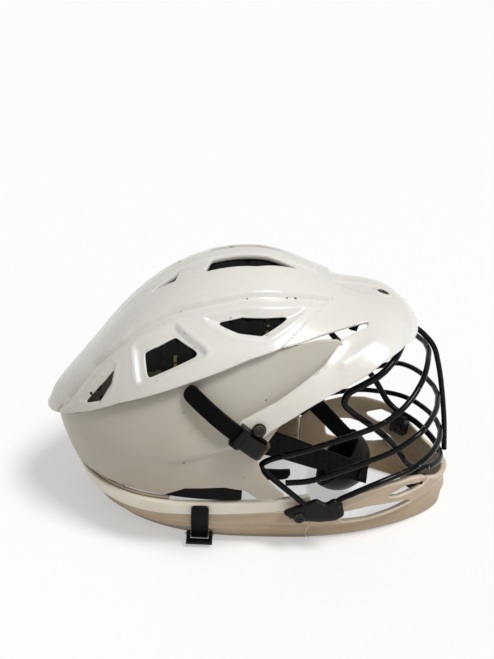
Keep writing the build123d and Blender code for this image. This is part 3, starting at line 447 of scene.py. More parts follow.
def addShell(name, look, sheet, relief):
    points, faces, edge = thickSheet(*sheet, look, relief)
    piece = makeObject(name, points, faces, look["material"], edge if look.get("worn", True) else None)
    declare(piece, look)
    print(f"{name}: {len(piece.data.polygons)} faces")


def addPair(name, look, points, faces, edge, uvs=None):
    for side in ("right", "left"):
        if side == "left":
            points, faces = mirrored(points, faces)
        declare(makeObject(f"{name}_{side}", points, faces, look["material"], edge, uvs), look, side)


# A smooth curve for each column of a table, by the distance that some of its columns travel, and that length
def curvesAlong(rows, travelColumns=(0, 1)):
    table = np.array(rows, float)
    steps = np.linalg.norm(np.diff(table[:, travelColumns], axis=0), axis=1)
    travel = np.concatenate([[0], np.cumsum(steps)])
    return [smoothThrough(travel, column) for column in table.T], float(travel[-1])


def stationsAlong(length, step):
    return np.linspace(0, length, int(length / step) + 2)


def curvesByHeight(rows):
    table = np.array(rows, float)
    return [smoothThrough(table[:, 0], column) for column in table.T[1:]]


archPowers = (0.95, 0.87)  # how round the arch is at its sides and top


def archSurface(columns):
    xOf, halfOf, lowOf, topOf = columns

    def surface(s, t):
        swing, lift = np.cos(t), np.clip(np.sin(t), 0, 1)
        low = lowOf(s)
        return np.stack([xOf(s), -halfOf(s) * np.sign(swing) * np.abs(swing) ** archPowers[0],
                         low + (topOf(s) - low) * lift ** archPowers[1]], -1)
    return surface


def planSurface(rows):  # a rear and a front half ellipse at each height
    rearOf, halfOf, middleOf, frontOf = curvesByHeight(rows)

    def surface(turn, z):
        rear, half, middle, front = rearOf(z), halfOf(z), middleOf(z), frontOf(z)
        ahead = np.cos(turn)
        reach = np.where(ahead < 0, middle - rear, front - middle)
        return np.stack([middle + reach * ahead, -half * np.sin(turn), z], -1)
    return surface


def bowSurface(rows):  # a blunt nose at each height
    backOf, halfOf, frontOf, noseOf, sideOf = curvesByHeight(rows)

    def surface(turn, z):
        swing, lift = np.cos(turn), np.clip(np.sin(turn), 0, 1)
        back, half = backOf(z), halfOf(z)
        return np.stack([back + (frontOf(z) - back) * lift ** noseOf(z),
                         -half * np.sign(swing) * np.abs(swing) ** sideOf(z), z], -1)
    return surface


cell = 1.5


def overArch(piece):  # even turns from one foot of an arch to the other
    return np.linspace(0.01, math.pi - 0.01, int(piece["girth"] / cell))


def turnsOf(piece):
    first, last = (math.radians(turn) for turn in piece["turns"])
    return np.linspace(first, last, int(piece["girth"] / cell))


def levelsOf(piece, crowding=1.0):
    low, high = piece["heights"]
    return np.linspace(low, high, max(6, int((high - low) / cell * crowding)))


# ---- upper shell. Recesses are corner radius, depth and outline in side view
crownPiece = {
    "node": "crown_shell", "slot": "white_shell", "material": "mouldedPolycarbonateWhite", "worn": False,
    "rows": [(-171.5, 2, 74, 81), (-169, 14, 70, 90), (-160, 38, 72, 105), (-142, 64, 78, 127),
             (-115, 86, 84, 162), (-80, 102, 85, 196), (-35, 111, 85, 218), (10, 112.5, 85, 221),
             (50, 107, 85, 208), (92, 94, 85, 197)],
    "ridge": [(-180, 74), (-172, 79), (-154, 92), (-138, 103), (-102, 125), (-57, 146), (-6, 169), (13, 174.9)],
    "front": [(17, 176.3), (37, 191), (58, 199), (64, 235), (-180, 235)],
    "wall": 3.0, "rim": 0.8, "girth": 380,
    "vents": [(3.0, [(-87, 162), (-63, 177), (-43, 170), (-83, 147)]),
              (1.2, [(-134, 112), (-124, 126), (-109, 145), (-112, 135), (-119, 121)]),
              (1.5, [(-33, 190), (-13, 195), (24, 195.5), (2, 184.5), (-15, 185.5)])],
    "slots": [(1.8, [(-43, 28), (-39, 11), (6, 10), (31, 16), (-3, 28)]),
              (1.2, [(-86, 21), (-64, 12), (-66, 25)])],
    "recesses": [(4.0, 3.2, [(-95, 163), (-63, 184.5), (-34, 171), (-89, 140)]),
                 (2.0, 2.4, [(-139, 110), (-126, 130), (-107, 151), (-109, 134), (-119, 118)]),
                 (2.0, 3.0, [(-44, 191), (-14, 199), (38, 198.5), (6, 182), (-18, 183)])],
    "bevel": 3.0, "collar": 0.5,
    "belt": [(-150, -40, 105), (-139, -42, 121), (-128, -42, 136), (-117, -47, 149), (-106, -50, 159),
             (-95, -52, 168), (-85, -55, 177), (-65, -57, 188), (-44, -60, 196), (-24, -60, 201.5),
             (-4, -57.5, 204.5), (16, -54, 205.5), (37, -46, 203), (58, -37.5, 199.5)],
    "hollow": 3.4, "hollowWidth": 7.5, "raised": 0.9,
    "lip": 1.4, "lipWidth": 4.5, "frontLip": 0.35, "frontLipWidth": 3.0, "frontFrom": (12, 18),
    "spineHalf": 9.5, "spineLift": 1.1, "spineRise": (-120, -95), "spineEnd": (44, 46.5),
    "slotsAbove": 150, "builtShare": 0.9,
}


def crownMargin(points):
    value = sideMargin(crownOutline, crownPiece["rim"], crownVents)(points)
    above = points[:, 2] > crownPiece["slotsAbove"]
    for slot in crownSlots:
        value = np.where(above, np.minimum(value, -insideBy(topFlat(points), slot) - crownPiece["rim"]), value)
    return value


def crownRelief(points):
    piece, flat = crownPiece, sideFlat(points)
    height = np.zeros(len(points))
    for radius, depth, outline in piece["recesses"]:
        depthIn = insideBy(flat, roundCorners(outline, radius))
        height -= depth * np.clip((depthIn + 0.2) / piece["bevel"], 0, 1)
        height += piece["collar"] * np.exp(-(depthIn + 1.2) ** 2 / 1.8)
    path = np.array(piece["belt"], float)
    beltY = np.interp(points[:, 0], path[:, 0], -path[:, 1])
    inside = beltY - np.abs(points[:, 1])
    height += piece["raised"] * ease(inside, -0.4, 1.6)
    below = np.where(inside < 0, distanceTo(piece["belt"], points), 0)
    height -= piece["hollow"] * bell(below, piece["hollowWidth"]) ** 2 * ease(inside, 1.0, -0.6)
    along = ease(points[:, 0], *piece["spineRise"]) * (1 - ease(points[:, 0], *piece["spineEnd"]))
    spine = (1 - ease(np.abs(points[:, 1]), piece["spineHalf"] - 1.5, piece["spineHalf"] + 1)) * along
    height += piece["spineLift"] * spine
    toRidge = insideBy(flat, crownOutline)
    lowSide = 1 - ease(flat[:, 0], *piece["frontFrom"])
    height += piece["lip"] * bell(toRidge, piece["lipWidth"]) ** 2 * lowSide
    height += piece["frontLip"] * bell(toRidge, piece["frontLipWidth"]) ** 2 * (1 - lowSide)
    return height


crownOutline = np.array(crownPiece["ridge"] + crownPiece["front"], float)
crownVents = [roundCorners(outline, radius) for radius, outline in crownPiece["vents"]]
crownSlots = [roundCorners(outline, radius) for radius, outline in crownPiece["slots"]]
crownCurves, crownLength = curvesAlong(crownPiece["rows"], (0, 1, 3))
crownStations = stationsAlong(crownLength, cell)
crownStations = crownStations[crownStations < crownLength * crownPiece["builtShare"]]
addShell("crownShell", crownPiece,
         cutSheet(archSurface(crownCurves), crownStations, overArch(crownPiece), crownMargin), crownRelief)

# ---- visor with its side arms
visorPiece = {
    "node": "visor", "slot": "white_shell", "material": "mouldedPolycarbonateWhite",
    "rows": [(-22, 118.8, 85, 217), (10, 115, 85, 218), (42, 112, 94, 208), (70, 105, 112, 199),
             (92, 96, 135, 196), (108, 80, 152, 192), (121, 54, 160, 185), (131, 18, 163, 174),
             (132.5, 2, 165.5, 169.5)],
    "outline": [(62.6, 235), (56.7, 200), (36.2, 192.1), (16.4, 177.6), (9.4, 174.6), (46, 182.4), (90, 188.5),
                (62, 180), (49, 166), (15, 142), (-11, 128), (-15, 115), (-2, 106), (12, 120), (38, 137),
                (54, 146), (71, 154), (82, 160), (93, 167), (103, 171), (114, 174), (141, 166), (141, 235)],
    "wall": 2.7, "rim": 0.8, "cornerRadius": 2.0, "girth": 380,
    "strip": [(66, 5), (84, 11), (99, 13), (109, 8), (111, 0), (60, 0)], "stripDepth": 1.1, "stripFrom": (60, 111),
    "seat": (102, 0), "seatRadius": 5.6, "seatLift": 1.3, "seatRing": (7.2, 8.6),
    "seatAbove": 170, "topAbove": 180,
    "crease": [(-11, -109, 128), (15, -105, 142), (48, -92, 165)], "creaseDepth": 1.2, "creaseWidth": 3.4,
    "brow": [(65, -88, 167), (87, -73, 181)], "browLift": 1.4, "browWidth": 5,
}


def fromSeat(points):
    return np.hypot(points[:, 0] - visorPiece["seat"][0], points[:, 1] - visorPiece["seat"][1])


def visorMargin(points):
    value = sideMargin(visorOutline, visorPiece["rim"])(points)
    seat = fromSeat(points) - visorPiece["seatRadius"]
    return np.where(points[:, 2] > visorPiece["seatAbove"], np.minimum(value, seat), value)


def visorRelief(points):
    piece, onTop, middle = visorPiece, points[:, 2] > visorPiece["topAbove"], np.abs(points[:, 1])
    height = piece["browLift"] * bell(distanceTo(piece["brow"], points), piece["browWidth"])
    height -= piece["creaseDepth"] * bell(distanceTo(piece["crease"], points), piece["creaseWidth"]) ** 2
    strip = insideBy(topFlat(points), visorStrip)
    strip = np.where(middle < 1.5, strip.max(), strip)  # no seam along the middle
    start, end = piece["stripFrom"]
    height -= piece["stripDepth"] * ease(strip, -0.6, 1.6) * (onTop & (points[:, 0] > start) & (points[:, 0] < end))
    height += piece["seatLift"] * (1 - ease(fromSeat(points), *piece["seatRing"])) * onTop
    return height


visorOutline = roundCorners(visorPiece["outline"], visorPiece["cornerRadius"])
visorStrip = np.array(visorPiece["strip"], float)
visorCurves, visorLength = curvesAlong(visorPiece["rows"])
addShell("visorShell", visorPiece,
         cutSheet(archSurface(visorCurves), stationsAlong(visorLength, cell), overArch(visorPiece), visorMargin),
         visorRelief)

# ---- side shell, round the back from one front edge to the other
sidePiece = {
    "node": "side_shell", "slot": "lower_shell", "material": "mouldedPolycarbonateDusty",
    "rows": [(40, -146, 94, -50, 165), (62, -156, 103, -38, 165), (88, -163, 108.5, -25, 175),
             (125, -151, 103.4, -12, 200), (180, -103, 83, -5, 152)],
    "top": [(-172, 78.7), (-154, 91.7), (-138, 102.7), (-102, 124.7), (-57, 145.7), (-6, 168.7), (13, 174.6)],
    "front": [(46, 181.2), (60, 181.4), (66, 176), (64, 162), (48, 148), (20, 122), (3, 96), (8, 80), (15, 69.5),
              (22, 60), (27.5, 54), (25.5, 51), (7, 50.5), (-4, 62), (-20, 65.5), (-50, 62.5), (-66, 53),
              (-180, 51)],
    "wall": 3.0, "rim": 0.9, "cornerRadius": 3.0, "girth": 520, "turns": (62, 298), "heights": (48, 182),
    "crease": [(-73, -103, 87), (-44, -110, 95), (-14, -112, 106)], "creaseLift": 3.2,
    "creaseRise": (-82, -50), "creaseEnd": (0, 14), "creaseOutside": 70,
}


def sideRelief(points):
    piece = sidePiece
    path = np.array(piece["crease"], float)
    along = ease(points[:, 0], *piece["creaseRise"]) * (1 - ease(points[:, 0], *piece["creaseEnd"])) * (
        np.abs(points[:, 1]) > piece["creaseOutside"])
    above = points[:, 2] - np.interp(points[:, 0], path[:, 0], path[:, 2])
    step = np.where(above > 0, bell(above, 22), bell(above, 1.2))  # a fold, sharp below
    return piece["creaseLift"] * step * along


sideOutline = roundCorners(sidePiece["top"] + sidePiece["front"], sidePiece["cornerRadius"])
addShell("sideShell", sidePiece,
         cutSheet(planSurface(sidePiece["rows"]), turnsOf(sidePiece), levelsOf(sidePiece),
                  sideMargin(sideOutline, sidePiece["rim"])), sideRelief)

# ---- jaw band, recessed panel, base rail and chin guard. Lips are level, width and lift
trimPieces = {
    "jawBand": {
        "node": "jaw_band", "material": "mouldedNylonCream", "wall": 3.0, "rim": 0.9, "turns": (54, 306),
        "rows": [(33.3, -141, 93, -60, 130), (48, -147, 99, -60, 130)], "heights": (34.2, 47.1),
        "outline": [(-180, 30), (49.7, 30), (49.7, 44), (44, 60), (-180, 60)],
        "lips": [(46.0, 1.3, 1.1), (35.2, 1.2, 0.7)]},
    "bandPanel": {
        "node": "band_panel", "material": "mouldedNylonTan", "wall": 2.0, "rim": 0.5, "turns": (92, 268),
        "rows": [(38, -139.8, 91.5, -60, 125), (48, -143.4, 95.4, -60, 125), (62, -147.5, 95, -52, 135)],
        "heights": (38, 50.2), "outline": [(-180, 36), (-56, 36), (-60, 50.6), (-180, 50.6)], "lips": []},
    "baseRail": {
        "node": "base_rail", "material": "mouldedNylonTan", "wall": 4.0, "rim": 1.2, "turns": (50, 310),
        "rows": [(0, -119, 70, -10, 220), (16, -130, 82, -30, 200), (33, -139, 92, -50, 180)],
        "heights": (1.2, 31.8), "outline": [(-180, -5), (50, -5), (50, 60), (-180, 60)],
        "lips": [(17.0, 2.0, 2.4), (9.0, 3.2, 0.8), (2.2, 1.8, 1.0), (22.5, 1.6, 0.9), (30.0, 4.2, -3.4)]},
}


def lipRelief(lips, points):
    height = np.zeros(len(points))
    for level, width, lift in lips:
        height += lift * bell(points[:, 2] - level, width)
    return height


for name, piece in trimPieces.items():
    piece.update(slot="tan_trim", girth=480, outwardFrom=(0, 0, 30))
    sheet = cutSheet(planSurface(piece["rows"]), turnsOf(piece), levelsOf(piece, 1.6),
                     sideMargin(np.array(piece["outline"], float), piece["rim"]))
    addShell(name, piece, sheet, lambda points: lipRelief(piece["lips"], points))

chinPiece = {
    "node": "chin_guard", "slot": "tan_trim", "material": "mouldedNylonTan", "outwardFrom": (50, 0, 30),
    "rows": [(0, 50, 68, 172, 1.38, 1.3), (30, 50, 83, 173, 1.25, 1.1), (62, 50, 94, 169, 1.1, 1.0)],
    "outline": [(49.9, -5), (49.9, 32), (72, 49), (90, 56), (110, 60), (130, 60), (142, 56), (152, 49), (162, 43),
                (180, 38), (180, -5)],
    "slots": [[(74, 34), (98, 37.5), (126, 35), (138, 31), (120, 24), (98, 19), (76, 20.5)],
              [(110, 45.5), (126, 53), (148, 50.5), (144, 45.5), (122, 41.5)]],
    "wall": 3.5, "rim": 0.9, "girth": 420, "heights": (1.2, 61.5), "slotRadius": 2.4, "lipLift": 0.9, "lipWidth": 1.8,
    "ribs": [([(50, 26), (72, 41), (90, 48), (110, 56), (130, 56.5), (150, 46), (162, 39)], 1.6, 1.1),
             ([(50, 13), (80, 13), (110, 15), (140, 22), (160, 28), (175, 33)], 3.4, -2.0),
             ([(50, 6), (90, 6), (130, 9), (160, 17), (175, 22)], 2.0, 1.0)],
}


def chinRelief(points):
    flat = sideFlat(points)
    nearest = np.abs(insideBy(flat, chinOutline))
    for slot in chinSlots:
        nearest = np.minimum(nearest, np.abs(insideBy(flat, slot)))
    height = chinPiece["lipLift"] * bell(nearest, chinPiece["lipWidth"])
    for path, width, lift in chinPiece["ribs"]:
        xs, levels = np.array(path, float).T
        height += lift * bell(flat[:, 1] - np.interp(flat[:, 0], xs, levels), width)
    return height


chinOutline = np.array(chinPiece["outline"], float)
chinSlots = [roundCorners(slot, chinPiece["slotRadius"]) for slot in chinPiece["slots"]]
addShell("chinGuard", chinPiece,
         cutSheet(bowSurface(chinPiece["rows"]), overArch(chinPiece), levelsOf(chinPiece),
                  sideMargin(chinOutline, chinPiece["rim"], chinSlots)), chinRelief)


# ---- straps
strapStep, strapRows = 1.2, 17


def addStraps(name, look, surface, ends):
    look.update(slot="black_strap", rim=0.5)
    (u0, u1), (v0, v1) = ends, look["across"]
    outline = roundCorners([(u0, v0), (u1, v0), (u1, v1), (u0, v1)], look["corner"], 8)
    flat, faces = flatSheet(np.linspace(u0, u1, max(8, int((u1 - u0) / strapStep))),
                            np.linspace(v0, v1, strapRows), outline, look["rim"])
    points, allFaces, edge = thickSheet(surface(flat[:, 0], flat[:, 1]), faces, look)
    uvs = np.resize(flat[:1, :2], (len(points), 2))
    uvs[:2 * len(flat)] = np.tile(flat[:, :2], (2, 1))
    addPair(name, look, points, allFaces, edge, uvs)


buckle = {"origin": (-14.0, -114.0, 120.0), "fall": 35.0, "lean": 7.0}
fall, lean = math.radians(buckle["fall"]), math.radians(buckle["lean"])
buckleOut = np.array((0, -math.cos(lean), math.sin(lean)))
buckleAlong = np.array((math.cos(fall), -math.sin(fall) * math.sin(lean), -math.sin(fall) * math.cos(lean)))
buckleAcross = np.cross(buckleOut, buckleAlong)


def onBuckle(along, across, out):
    return (np.array(buckle["origin"]) + np.multiply.outer(along, buckleAlong)
            + np.multiply.outer(across, buckleAcross) + np.multiply.outer(out, buckleOut))


tail = {"node": "strap_tail", "body": "tail_SIDE", "material": "mouldedRubberBlack", "outwardFrom": (-14, -40, 120),
        "curve": 82.0, "apex": 5.0, "floor": 1.8, "thick": 1.4, "wall": 1.1, "ends": (-46.6, 7.6),
        "across": (-6.5, 6.5), "corner": 6.0, "bead": 0.25, "beadWidth": 1.6}


def tailSurface(along, across):
    out = tail["floor"] - tail["curve"] + np.sqrt((tail["curve"] + tail["thick"]) ** 2 - (along - tail["apex"]) ** 2)
    beads = tail["bead"] * (np.abs(across) > tail["across"][1] - tail["beadWidth"])
    return onBuckle(along, across, out - tail["bead"] + beads)


addStraps("strapTail", tail, tailSurface, tail["ends"])

rearStrap = {"node": "rear_strap", "material": "mouldedRubberBlack", "outwardFrom": (-38, -60, 40),
             "path": [(-99.7, 45.0), (-96.3, 34.4), (-91.5, 25.0), (-85.6, 15.8), (-82.6, 9.5), (-82.25, 6.1),
                      (-81.3, 4.0), (-79.4, 3.25), (-77.5, 4.0)],
             "across": (-45.0, -31.0), "wall": 1.6, "corner": 4.0}
rearCurves, rearLength = curvesAlong(rearStrap["path"])
addStraps("rearStrap", rearStrap,
          lambda along, across: np.stack([across, *(curve(along) for curve in rearCurves)], -1), (0, rearLength))

chinStrap = {"node": "chin_strap", "body": "chin_hanger", "material": "wovenNylonWebbing", "outwardFrom": (40, 0, 60),
             "plan": [(-16, -101.5), (-8, -101.5), (-1, -100.3), (5, -95.5), (10, -90.3), (19, -82.4), (40, -66.9),
                      (70, -44.8), (103, -20.5)],
             "low": [(-17, 97), (-4, 97), (103, 24)], "high": [(-17, 113), (8, 113), (103, 43)],
             "across": (-8, 8), "corner": 2.0, "wall": 2.0}
chinCurves, chinLength = curvesAlong(chinStrap["plan"])


def chinSurface(along, across):
    x, y = (curve(along) for curve in chinCurves)
    low, high = (np.interp(x, *np.array(chinStrap[key], float).T) for key in ("low", "high"))
    return np.stack([x, y, low + (high - low) * (across / (2 * chinStrap["across"][1]) + 0.5)], -1)


addStraps("chinStrap", chinStrap, chinSurface, (0, chinLength))

# A webbing band inside the wall, behind the long opening over the jaw band
innerStrap = {"material": "wovenNylonWebbing", "outwardFrom": (-40, -40, 60),
              "plan": [(-112, -70), (-92, -84), (-66, -93.5), (-40, -97.2), (-15, -97.6), (-6, -96.5)],
              "level": 59.0, "across": (-8.5, 8.5), "corner": 1.5, "wall": 1.8}
innerCurves, innerLength = curvesAlong(innerStrap["plan"])
addStraps("innerStrap", innerStrap,
          lambda along, across: np.stack([*(curve(along) for curve in innerCurves),
                                          innerStrap["level"] + across], -1), (0, innerLength))
print("straps made")


# ---- clips and buckles: a flat outline becomes a domed moulding with round rims
def addPlates(name, look, place, relief=None):
    outline, step, dome = roundCorners(look["outline"], look["corner"]), look["step"], look["dome"]
    low, high = outline.min(0) - step, outline.max(0) + step
    flat, faces = flatSheet(np.arange(low[0], high[0] + step, step), np.arange(low[1], high[1] + step, step),
                            outline, look["rim"])

    def lift(points):
        inward = insideBy(flat[:, :2], outline)
        return dome * ease(inward, 0, dome * 3 + 2) + (relief(flat) if relief else 0)
    addPair(name, look, *thickSheet(place(flat[:, 0], flat[:, 1]), faces, look, lift))


sideClip = {"node": "side_clip", "slot": "black_plastic", "material": "mouldedNylonBlack",
            "outwardFrom": (50, -60, 40),
            "outline": [(26, 38), (33, 33), (44, 31), (58, 31), (69, 33), (76, 38), (73, 50), (66, 52), (60, 47),
                        (53, 51), (46, 48)],
            "corner": 4.0, "face": -93.2, "wall": 5.2, "rim": 1.2, "dome": 0.9, "step": 1.1}
addPlates("sideClipCover", sideClip, lambda x, z: np.stack([x, sideClip["face"] + 0 * x, z], -1))

# The lever's plate: a knuckle over the pin, a bowed shoulder and a serrated end over the strap
lever = {"node": "buckle_lever", "body": "lever_SIDE", "slot": "black_plastic", "material": "mouldedNylonBlack",
         "outwardFrom": (-14, -60, 120), "back": 1.9, "reach": 26.0, "half": 6.6, "knuckleTop": 7.9, "endTop": 4.9,
         "bulge": 2.08, "knuckle": 2.4, "knuckleLength": 2.6, "teeth": 7, "toothDepth": 0.9, "toothFrom": 1.5,
         "shoulder": 8.2, "shoulderLift": 0.5, "shoulderWidth": 0.9, "ribLift": 0.22, "ribPitch": 1.9,
         "ribLength": 5, "corner": 0.7, "wall": 1.6, "rim": 0.35, "dome": 0.25, "step": 0.55}


half, tip, count = lever["half"], lever["reach"], lever["teeth"]
teeth = [(tip - away, -half + 2 * half * (k + 0.25) / count + half * aside / count)
         for k in range(count) for aside, away in enumerate((0, lever["toothDepth"]))]
lever["outline"] = [(lever["back"], -half), (tip - lever["toothFrom"], -half), *teeth,
                    (tip - lever["toothFrom"], half), (lever["back"], half)]


def leverSurface(along, across):
    share = (along - lever["back"]) / (lever["reach"] - lever["back"])
    top = lever["knuckleTop"] + (lever["endTop"] - lever["knuckleTop"]) * share + lever["bulge"] * np.sin(
        math.pi * share)
    knuckle = np.clip(1 - (along - lever["back"]) / lever["knuckleLength"], 0, 1)
    return onBuckle(along, across, top - lever["knuckle"] * knuckle ** 2)


def leverRelief(flat):
    bar = lever["shoulderLift"] * bell(flat[:, 0] - lever["shoulder"], lever["shoulderWidth"])
    ribs = lever["ribLift"] * np.cos(flat[:, 1] * 2 * math.pi / lever["ribPitch"])
    return bar + ribs * (flat[:, 0] > lever["reach"] - lever["ribLength"])


addPlates("leverPlate", lever, leverSurface, leverRelief)

# A thin brass rim plate under the lever, and a ring round the snap
buckleRim = {"body": "buckle_SIDE", "slot": "brass", "material": "platedBrass", "outwardFrom": (-14, -60, 120),
             "outline": [(13.5, -8.6), (25.2, -8.6), (27.6, -6.5), (27.6, 6.5), (25.2, 8.6), (20.0, 8.9),
                         (13.5, 8.9)],
             "corner": 1.4, "level": 1.4, "wall": 0.7, "rim": 0.3, "dome": 0.0, "step": 0.8}
addPlates("buckleRim", buckleRim, lambda along, across: onBuckle(along, across, buckleRim["level"] + 0 * along))
snapRing = {"slot": "brass", "material": "platedBrass",
            "along": 13.0, "across": 12.0, "level": 2.5, "radius": 3.9, "wire": 0.55, "round": 40, "section": 10}
around, section = snapRing["round"], snapRing["section"]
ringTurns, wireTurns = np.meshgrid(*(np.linspace(0, 2 * math.pi, count, endpoint=False)
                                     for count in (around, section)), indexing="ij")
reach = snapRing["radius"] + snapRing["wire"] * np.cos(wireTurns)
ringPoints = onBuckle((snapRing["along"] + reach * np.cos(ringTurns)).ravel(),
                      (snapRing["across"] + reach * np.sin(ringTurns)).ravel(),
                      (snapRing["level"] + snapRing["wire"] * np.sin(wireTurns)).ravel())
ringFaces = [[(i + a) % around * section + (j + b) % section for a, b in ((0, 0), (0, 1), (1, 1), (1, 0))]
             for i in range(around) for j in range(section)]
addPair("snapRing", snapRing, ringPoints, ringFaces, np.zeros(len(ringPoints)))
print("clips and buckles made")


# ---- pads: remeshed from the frame, swelled as cloth, then grooved
def pieceMesh(piece):
    graph = bpy.context.evaluated_depsgraph_get()
    mesh = bpy.data.meshes.new_from_object(piece.evaluated_get(graph))
    piece.modifiers.clear()
    piece.data = mesh
    return mesh


def valuesOf(mesh, key="co"):
    values = np.zeros(len(mesh.vertices) * 3)
    mesh.vertices.foreach_get(key, values)
    return values.reshape(-1, 3)


def setCoords(mesh, values):
    mesh.vertices.foreach_set("co", np.asarray(values, float).ravel())
    mesh.update()


clothFrames = 20


def swell(piece, look):  # cloth under pressure, each point held within the cap
    start = valuesOf(piece.data)
    cloth = piece.modifiers.new("swell", "CLOTH")
    cloth.settings.quality = 4
    cloth.settings.use_pressure = True
    cloth.settings.uniform_pressure_force = look.get("pressure", 4)
    cloth.settings.effector_weights.gravity = 0.0
    cloth.settings.tension_stiffness = cloth.settings.compression_stiffness = 30.0
    cloth.collision_settings.use_collision = False
    cloth.point_cache.frame_start, cloth.point_cache.frame_end = 1, clothFrames
    for step in range(1, clothFrames + 1):
        bpy.context.scene.frame_set(step)
    mesh = pieceMesh(piece)
    moved = valuesOf(mesh) - start
    far = np.linalg.norm(moved, axis=1)
    moved *= np.minimum(1, look["cap"] * mm / np.maximum(far, 1e-9))[:, None]
    setCoords(mesh, start + moved)
    bpy.context.scene.frame_set(1)


def padPiece(name, node, look):
    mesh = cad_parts[node].data.copy()
    mesh.materials.clear()
    piece = addObject(name, mesh)
    remesh = piece.modifiers.new("voxels", "REMESH")
    remesh.mode, remesh.voxel_size = "VOXEL", look["voxel"] * mm
    soften = piece.modifiers.new("soften", "SMOOTH")
    soften.factor, soften.iterations = 0.5, 3
    mesh = pieceMesh(piece)
    setCoords(mesh, valuesOf(mesh) - valuesOf(mesh, "normal") * look["shrink"] * mm)
    swell(piece, look)
    finer = piece.modifiers.new("finer", "SUBSURF")
    finer.levels = finer.render_levels = 1
    mesh = pieceMesh(piece)
    points = valuesOf(mesh) / mm
    height = np.zeros(len(points))
    for axis, start, spacing, width, depth in look["grooves"]:
        phase = (points[:, axis] - start + spacing / 2) % spacing - spacing / 2
        height -= depth * np.exp(-(phase / width) ** 2)
    setCoords(mesh, (points + valuesOf(mesh, "normal") * height[:, None]) * mm)
    mesh.polygons.foreach_set("use_smooth", [True] * len(mesh.polygons))
    mesh.materials.clear()
    mesh.materials.append(finish[look.get("core", "brushedKnitFoam")])
    if "core" in look:  # a knit face over foam that shows at the cut edges
        mesh.materials.append(finish["brushedKnitFoam"])
        places = np.array([p.center for p in mesh.polygons]) / mm - np.array(look["domeCentre"])
        faceNormals = np.array([p.normal for p in mesh.polygons])
        level = np.abs(np.sum(places * faceNormals, 1)) / np.linalg.norm(places, axis=1)
        mesh.polygons.foreach_set("material_index", (level > look["facingFrom"]).astype(int))
        mesh.update()
    return piece


# Grooves are axis, first place, spacing, width and depth
padLooks = {
    "crownPad": {"node": "crown_pad", "voxel": 5, "shrink": 2.4, "cap": 1.6,
                 "grooves": [(0, -10, 30, 1.8, 2.2), (1, 16, 32, 1.8, 2.2)]},
    "rearPad": {"node": "rear_pad", "voxel": 4.5, "shrink": 1.9, "cap": 1.5,
                "grooves": [(1, 12, 24, 1.6, 2.0)]},
    "browPad": {"node": "brow_pad", "voxel": 4, "shrink": 0.8, "cap": 2,
                "grooves": [(1, 11, 22, 1.5, 1.6)]},
    "napeCradle": {"node": "nape_cradle", "body": "nape_cradle", "voxel": 4, "shrink": 0.6, "pressure": 3,
                   "cap": 1.6, "grooves": [(1, 9, 18, 1.4, 1.2)]},
    "chinCupPad": {"node": "chin_cup_pad", "body": "chin_hanger", "voxel": 4, "shrink": 0.5, "pressure": 3,
                   "cap": 1.2, "grooves": [(1, 6, 12, 1.2, 0.8)]},
    "templePad": {"node": "temple_pad", "pair": True, "slot": "olive_foam", "voxel": 4.5, "shrink": 1.6, "cap": 1.6,
                  "grooves": [(0, -8, 13, 1.7, 2.4), (2, 160, 16, 1.5, 1.2)], "core": "closedCellFoamOlive",
                  "facingFrom": 0.62, "domeCentre": (-30, 0, 100)},
    "sidePad": {"node": "side_pad", "pair": True, "voxel": 4.5, "shrink": 1.8, "cap": 1.5,
                "grooves": [(0, -8, 14, 1.6, 1.8)]},
    "jawPad": {"node": "jaw_pad", "pair": True, "voxel": 4, "shrink": 0.8, "cap": 2,
               "grooves": [(2, 62, 8, 1.4, 1.4)]},
}


def declarePad(piece, look, side=""):
    declare(piece, {"slot": "black_foam", **look}, side)


for name, look in padLooks.items():
    ending = "_right" if "pair" in look else ""
    piece = padPiece(name + ending, look["node"] + ending, look)
    declarePad(piece, look, ending[1:])
    if "pair" in look:
        twinMesh = piece.data.copy()
        twinMesh.transform(Matrix.Scale(-1, 4, (0, 1, 0)))
        twinMesh.flip_normals()
        declarePad(addObject(name + "_left", twinMesh), look, "left")
    print(f"{name}: {len(piece.data.polygons)} faces")

# ---- floor, light and camera
studio = {"floorReach": 20, "floorBehind": 40, "floorBelow": 0.0005, "glowShare": 0.42,
          "worldStrength": 0.33, "reflectedStrength": 0.42, "keyStrength": 2.35, "keyAngle": 20.0,
          "keyFrom": (0.42, -0.34, 1.0), "fillSize": 1.2, "fillPower": 1.3, "fillFrom": (0.9, -1.3, 0.7)}
reach, behind = studio["floorReach"], studio["floorBehind"]
floorMesh = bpy.data.meshes.new("studioFloor")
floorMesh.from_pydata([(-reach, -reach, 0), (reach, -reach, 0), (reach, behind, 0), (-reach, behind, 0)], [],
                      [(0, 1, 2, 3)])
studioFloor = addObject("studioFloor", floorMesh)
studioFloor.location.z = cadBox[0][2] - studio["floorBelow"]
paper = bpy.data.materials.new("paperSweep")  # matt paper: near white, with the shadow kept
paper.use_nodes = True
tree = paper.node_tree
diffuse = addNode(tree, "BsdfDiffuse", {"Color": linearColour("#fbfbfb")})
glow = addNode(tree, "Emission", {"Color": (1, 1, 1, 1), "Strength": 1.0})
rays = addNode(tree, "LightPath")
seen = mathNode(tree, "MAXIMUM", rays.outputs["Is Camera Ray"], rays.outputs["Is Glossy Ray"])
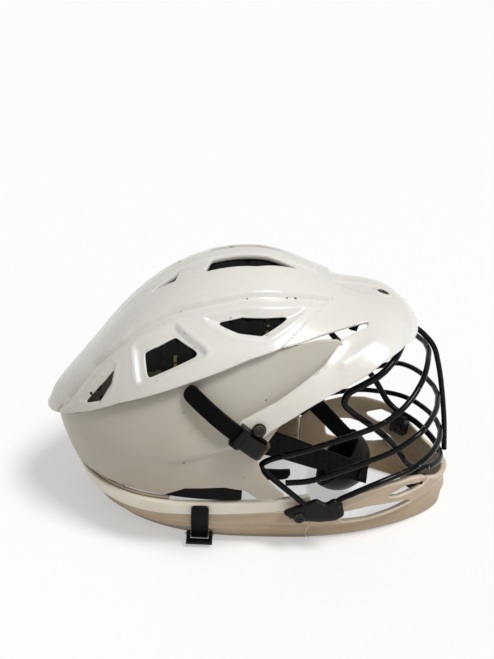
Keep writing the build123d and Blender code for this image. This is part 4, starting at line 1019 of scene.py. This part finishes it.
share = mathNode(tree, "MULTIPLY", seen, studio["glowShare"])
blendNode = addNode(tree, "MixShader", {0: share, 1: diffuse.outputs[0], 2: glow.outputs[0]})
tree.links.new(blendNode.outputs[0], tree.nodes["Material Output"].inputs["Surface"])
floorMesh.materials.append(paper)

world = bpy.data.worlds.new("studioWorld")
world.use_nodes = True
tree = world.node_tree
backdrop = tree.nodes["Background"]
rays = addNode(tree, "LightPath")
reflected = mathNode(tree, "MULTIPLY", rays.outputs["Is Glossy Ray"], studio["reflectedStrength"])
seen = mathNode(tree, "MAXIMUM", rays.outputs["Is Camera Ray"], reflected)
strength = mathNode(tree, "MULTIPLY_ADD", seen, 1 - studio["worldStrength"], studio["worldStrength"])
tree.links.new(strength, backdrop.inputs["Strength"])
backdrop.inputs["Color"].default_value = (1, 1, 1, 1)
bpy.context.scene.world = world


def facing(source, aim):
    return (Vector(aim) - Vector(source)).to_track_quat("-Z", "Y")


def addLamp(name, kind, source, aim, **settings):
    data = bpy.data.lights.new(name, kind)
    for key, value in settings.items():
        setattr(data, key, value)
    lamp = addObject(name, data)
    lamp.location, lamp.rotation_euler = source, facing(source, aim).to_euler()


addLamp("keySun", "SUN", studio["keyFrom"], (0, 0, 0), energy=studio["keyStrength"],
        angle=math.radians(studio["keyAngle"]))
addLamp("frontFill", "AREA", studio["fillFrom"], (0, 0, 0.1), energy=studio["fillPower"],
        size=studio["fillSize"])

view = {"place": (-0.02335, -0.71904, 0.44822), "aim": (-0.00672, 0.02145, 0.14587), "roll": 3.24, "lens": 68.21}
cameraData = bpy.data.cameras.new("photoCamera")
cameraData.sensor_fit, cameraData.sensor_width, cameraData.lens = "HORIZONTAL", 36.0, view["lens"]
camera = addObject("photoCamera", cameraData)
camera.matrix_world = (Matrix.Translation(view["place"]) @ facing(view["place"], view["aim"]).to_matrix().to_4x4()
                       @ Matrix.Rotation(math.radians(view["roll"]), 4, "Z"))
bpy.context.scene.camera = camera

bpy.context.scene.view_settings.view_transform = "Standard"
print("scene finished")
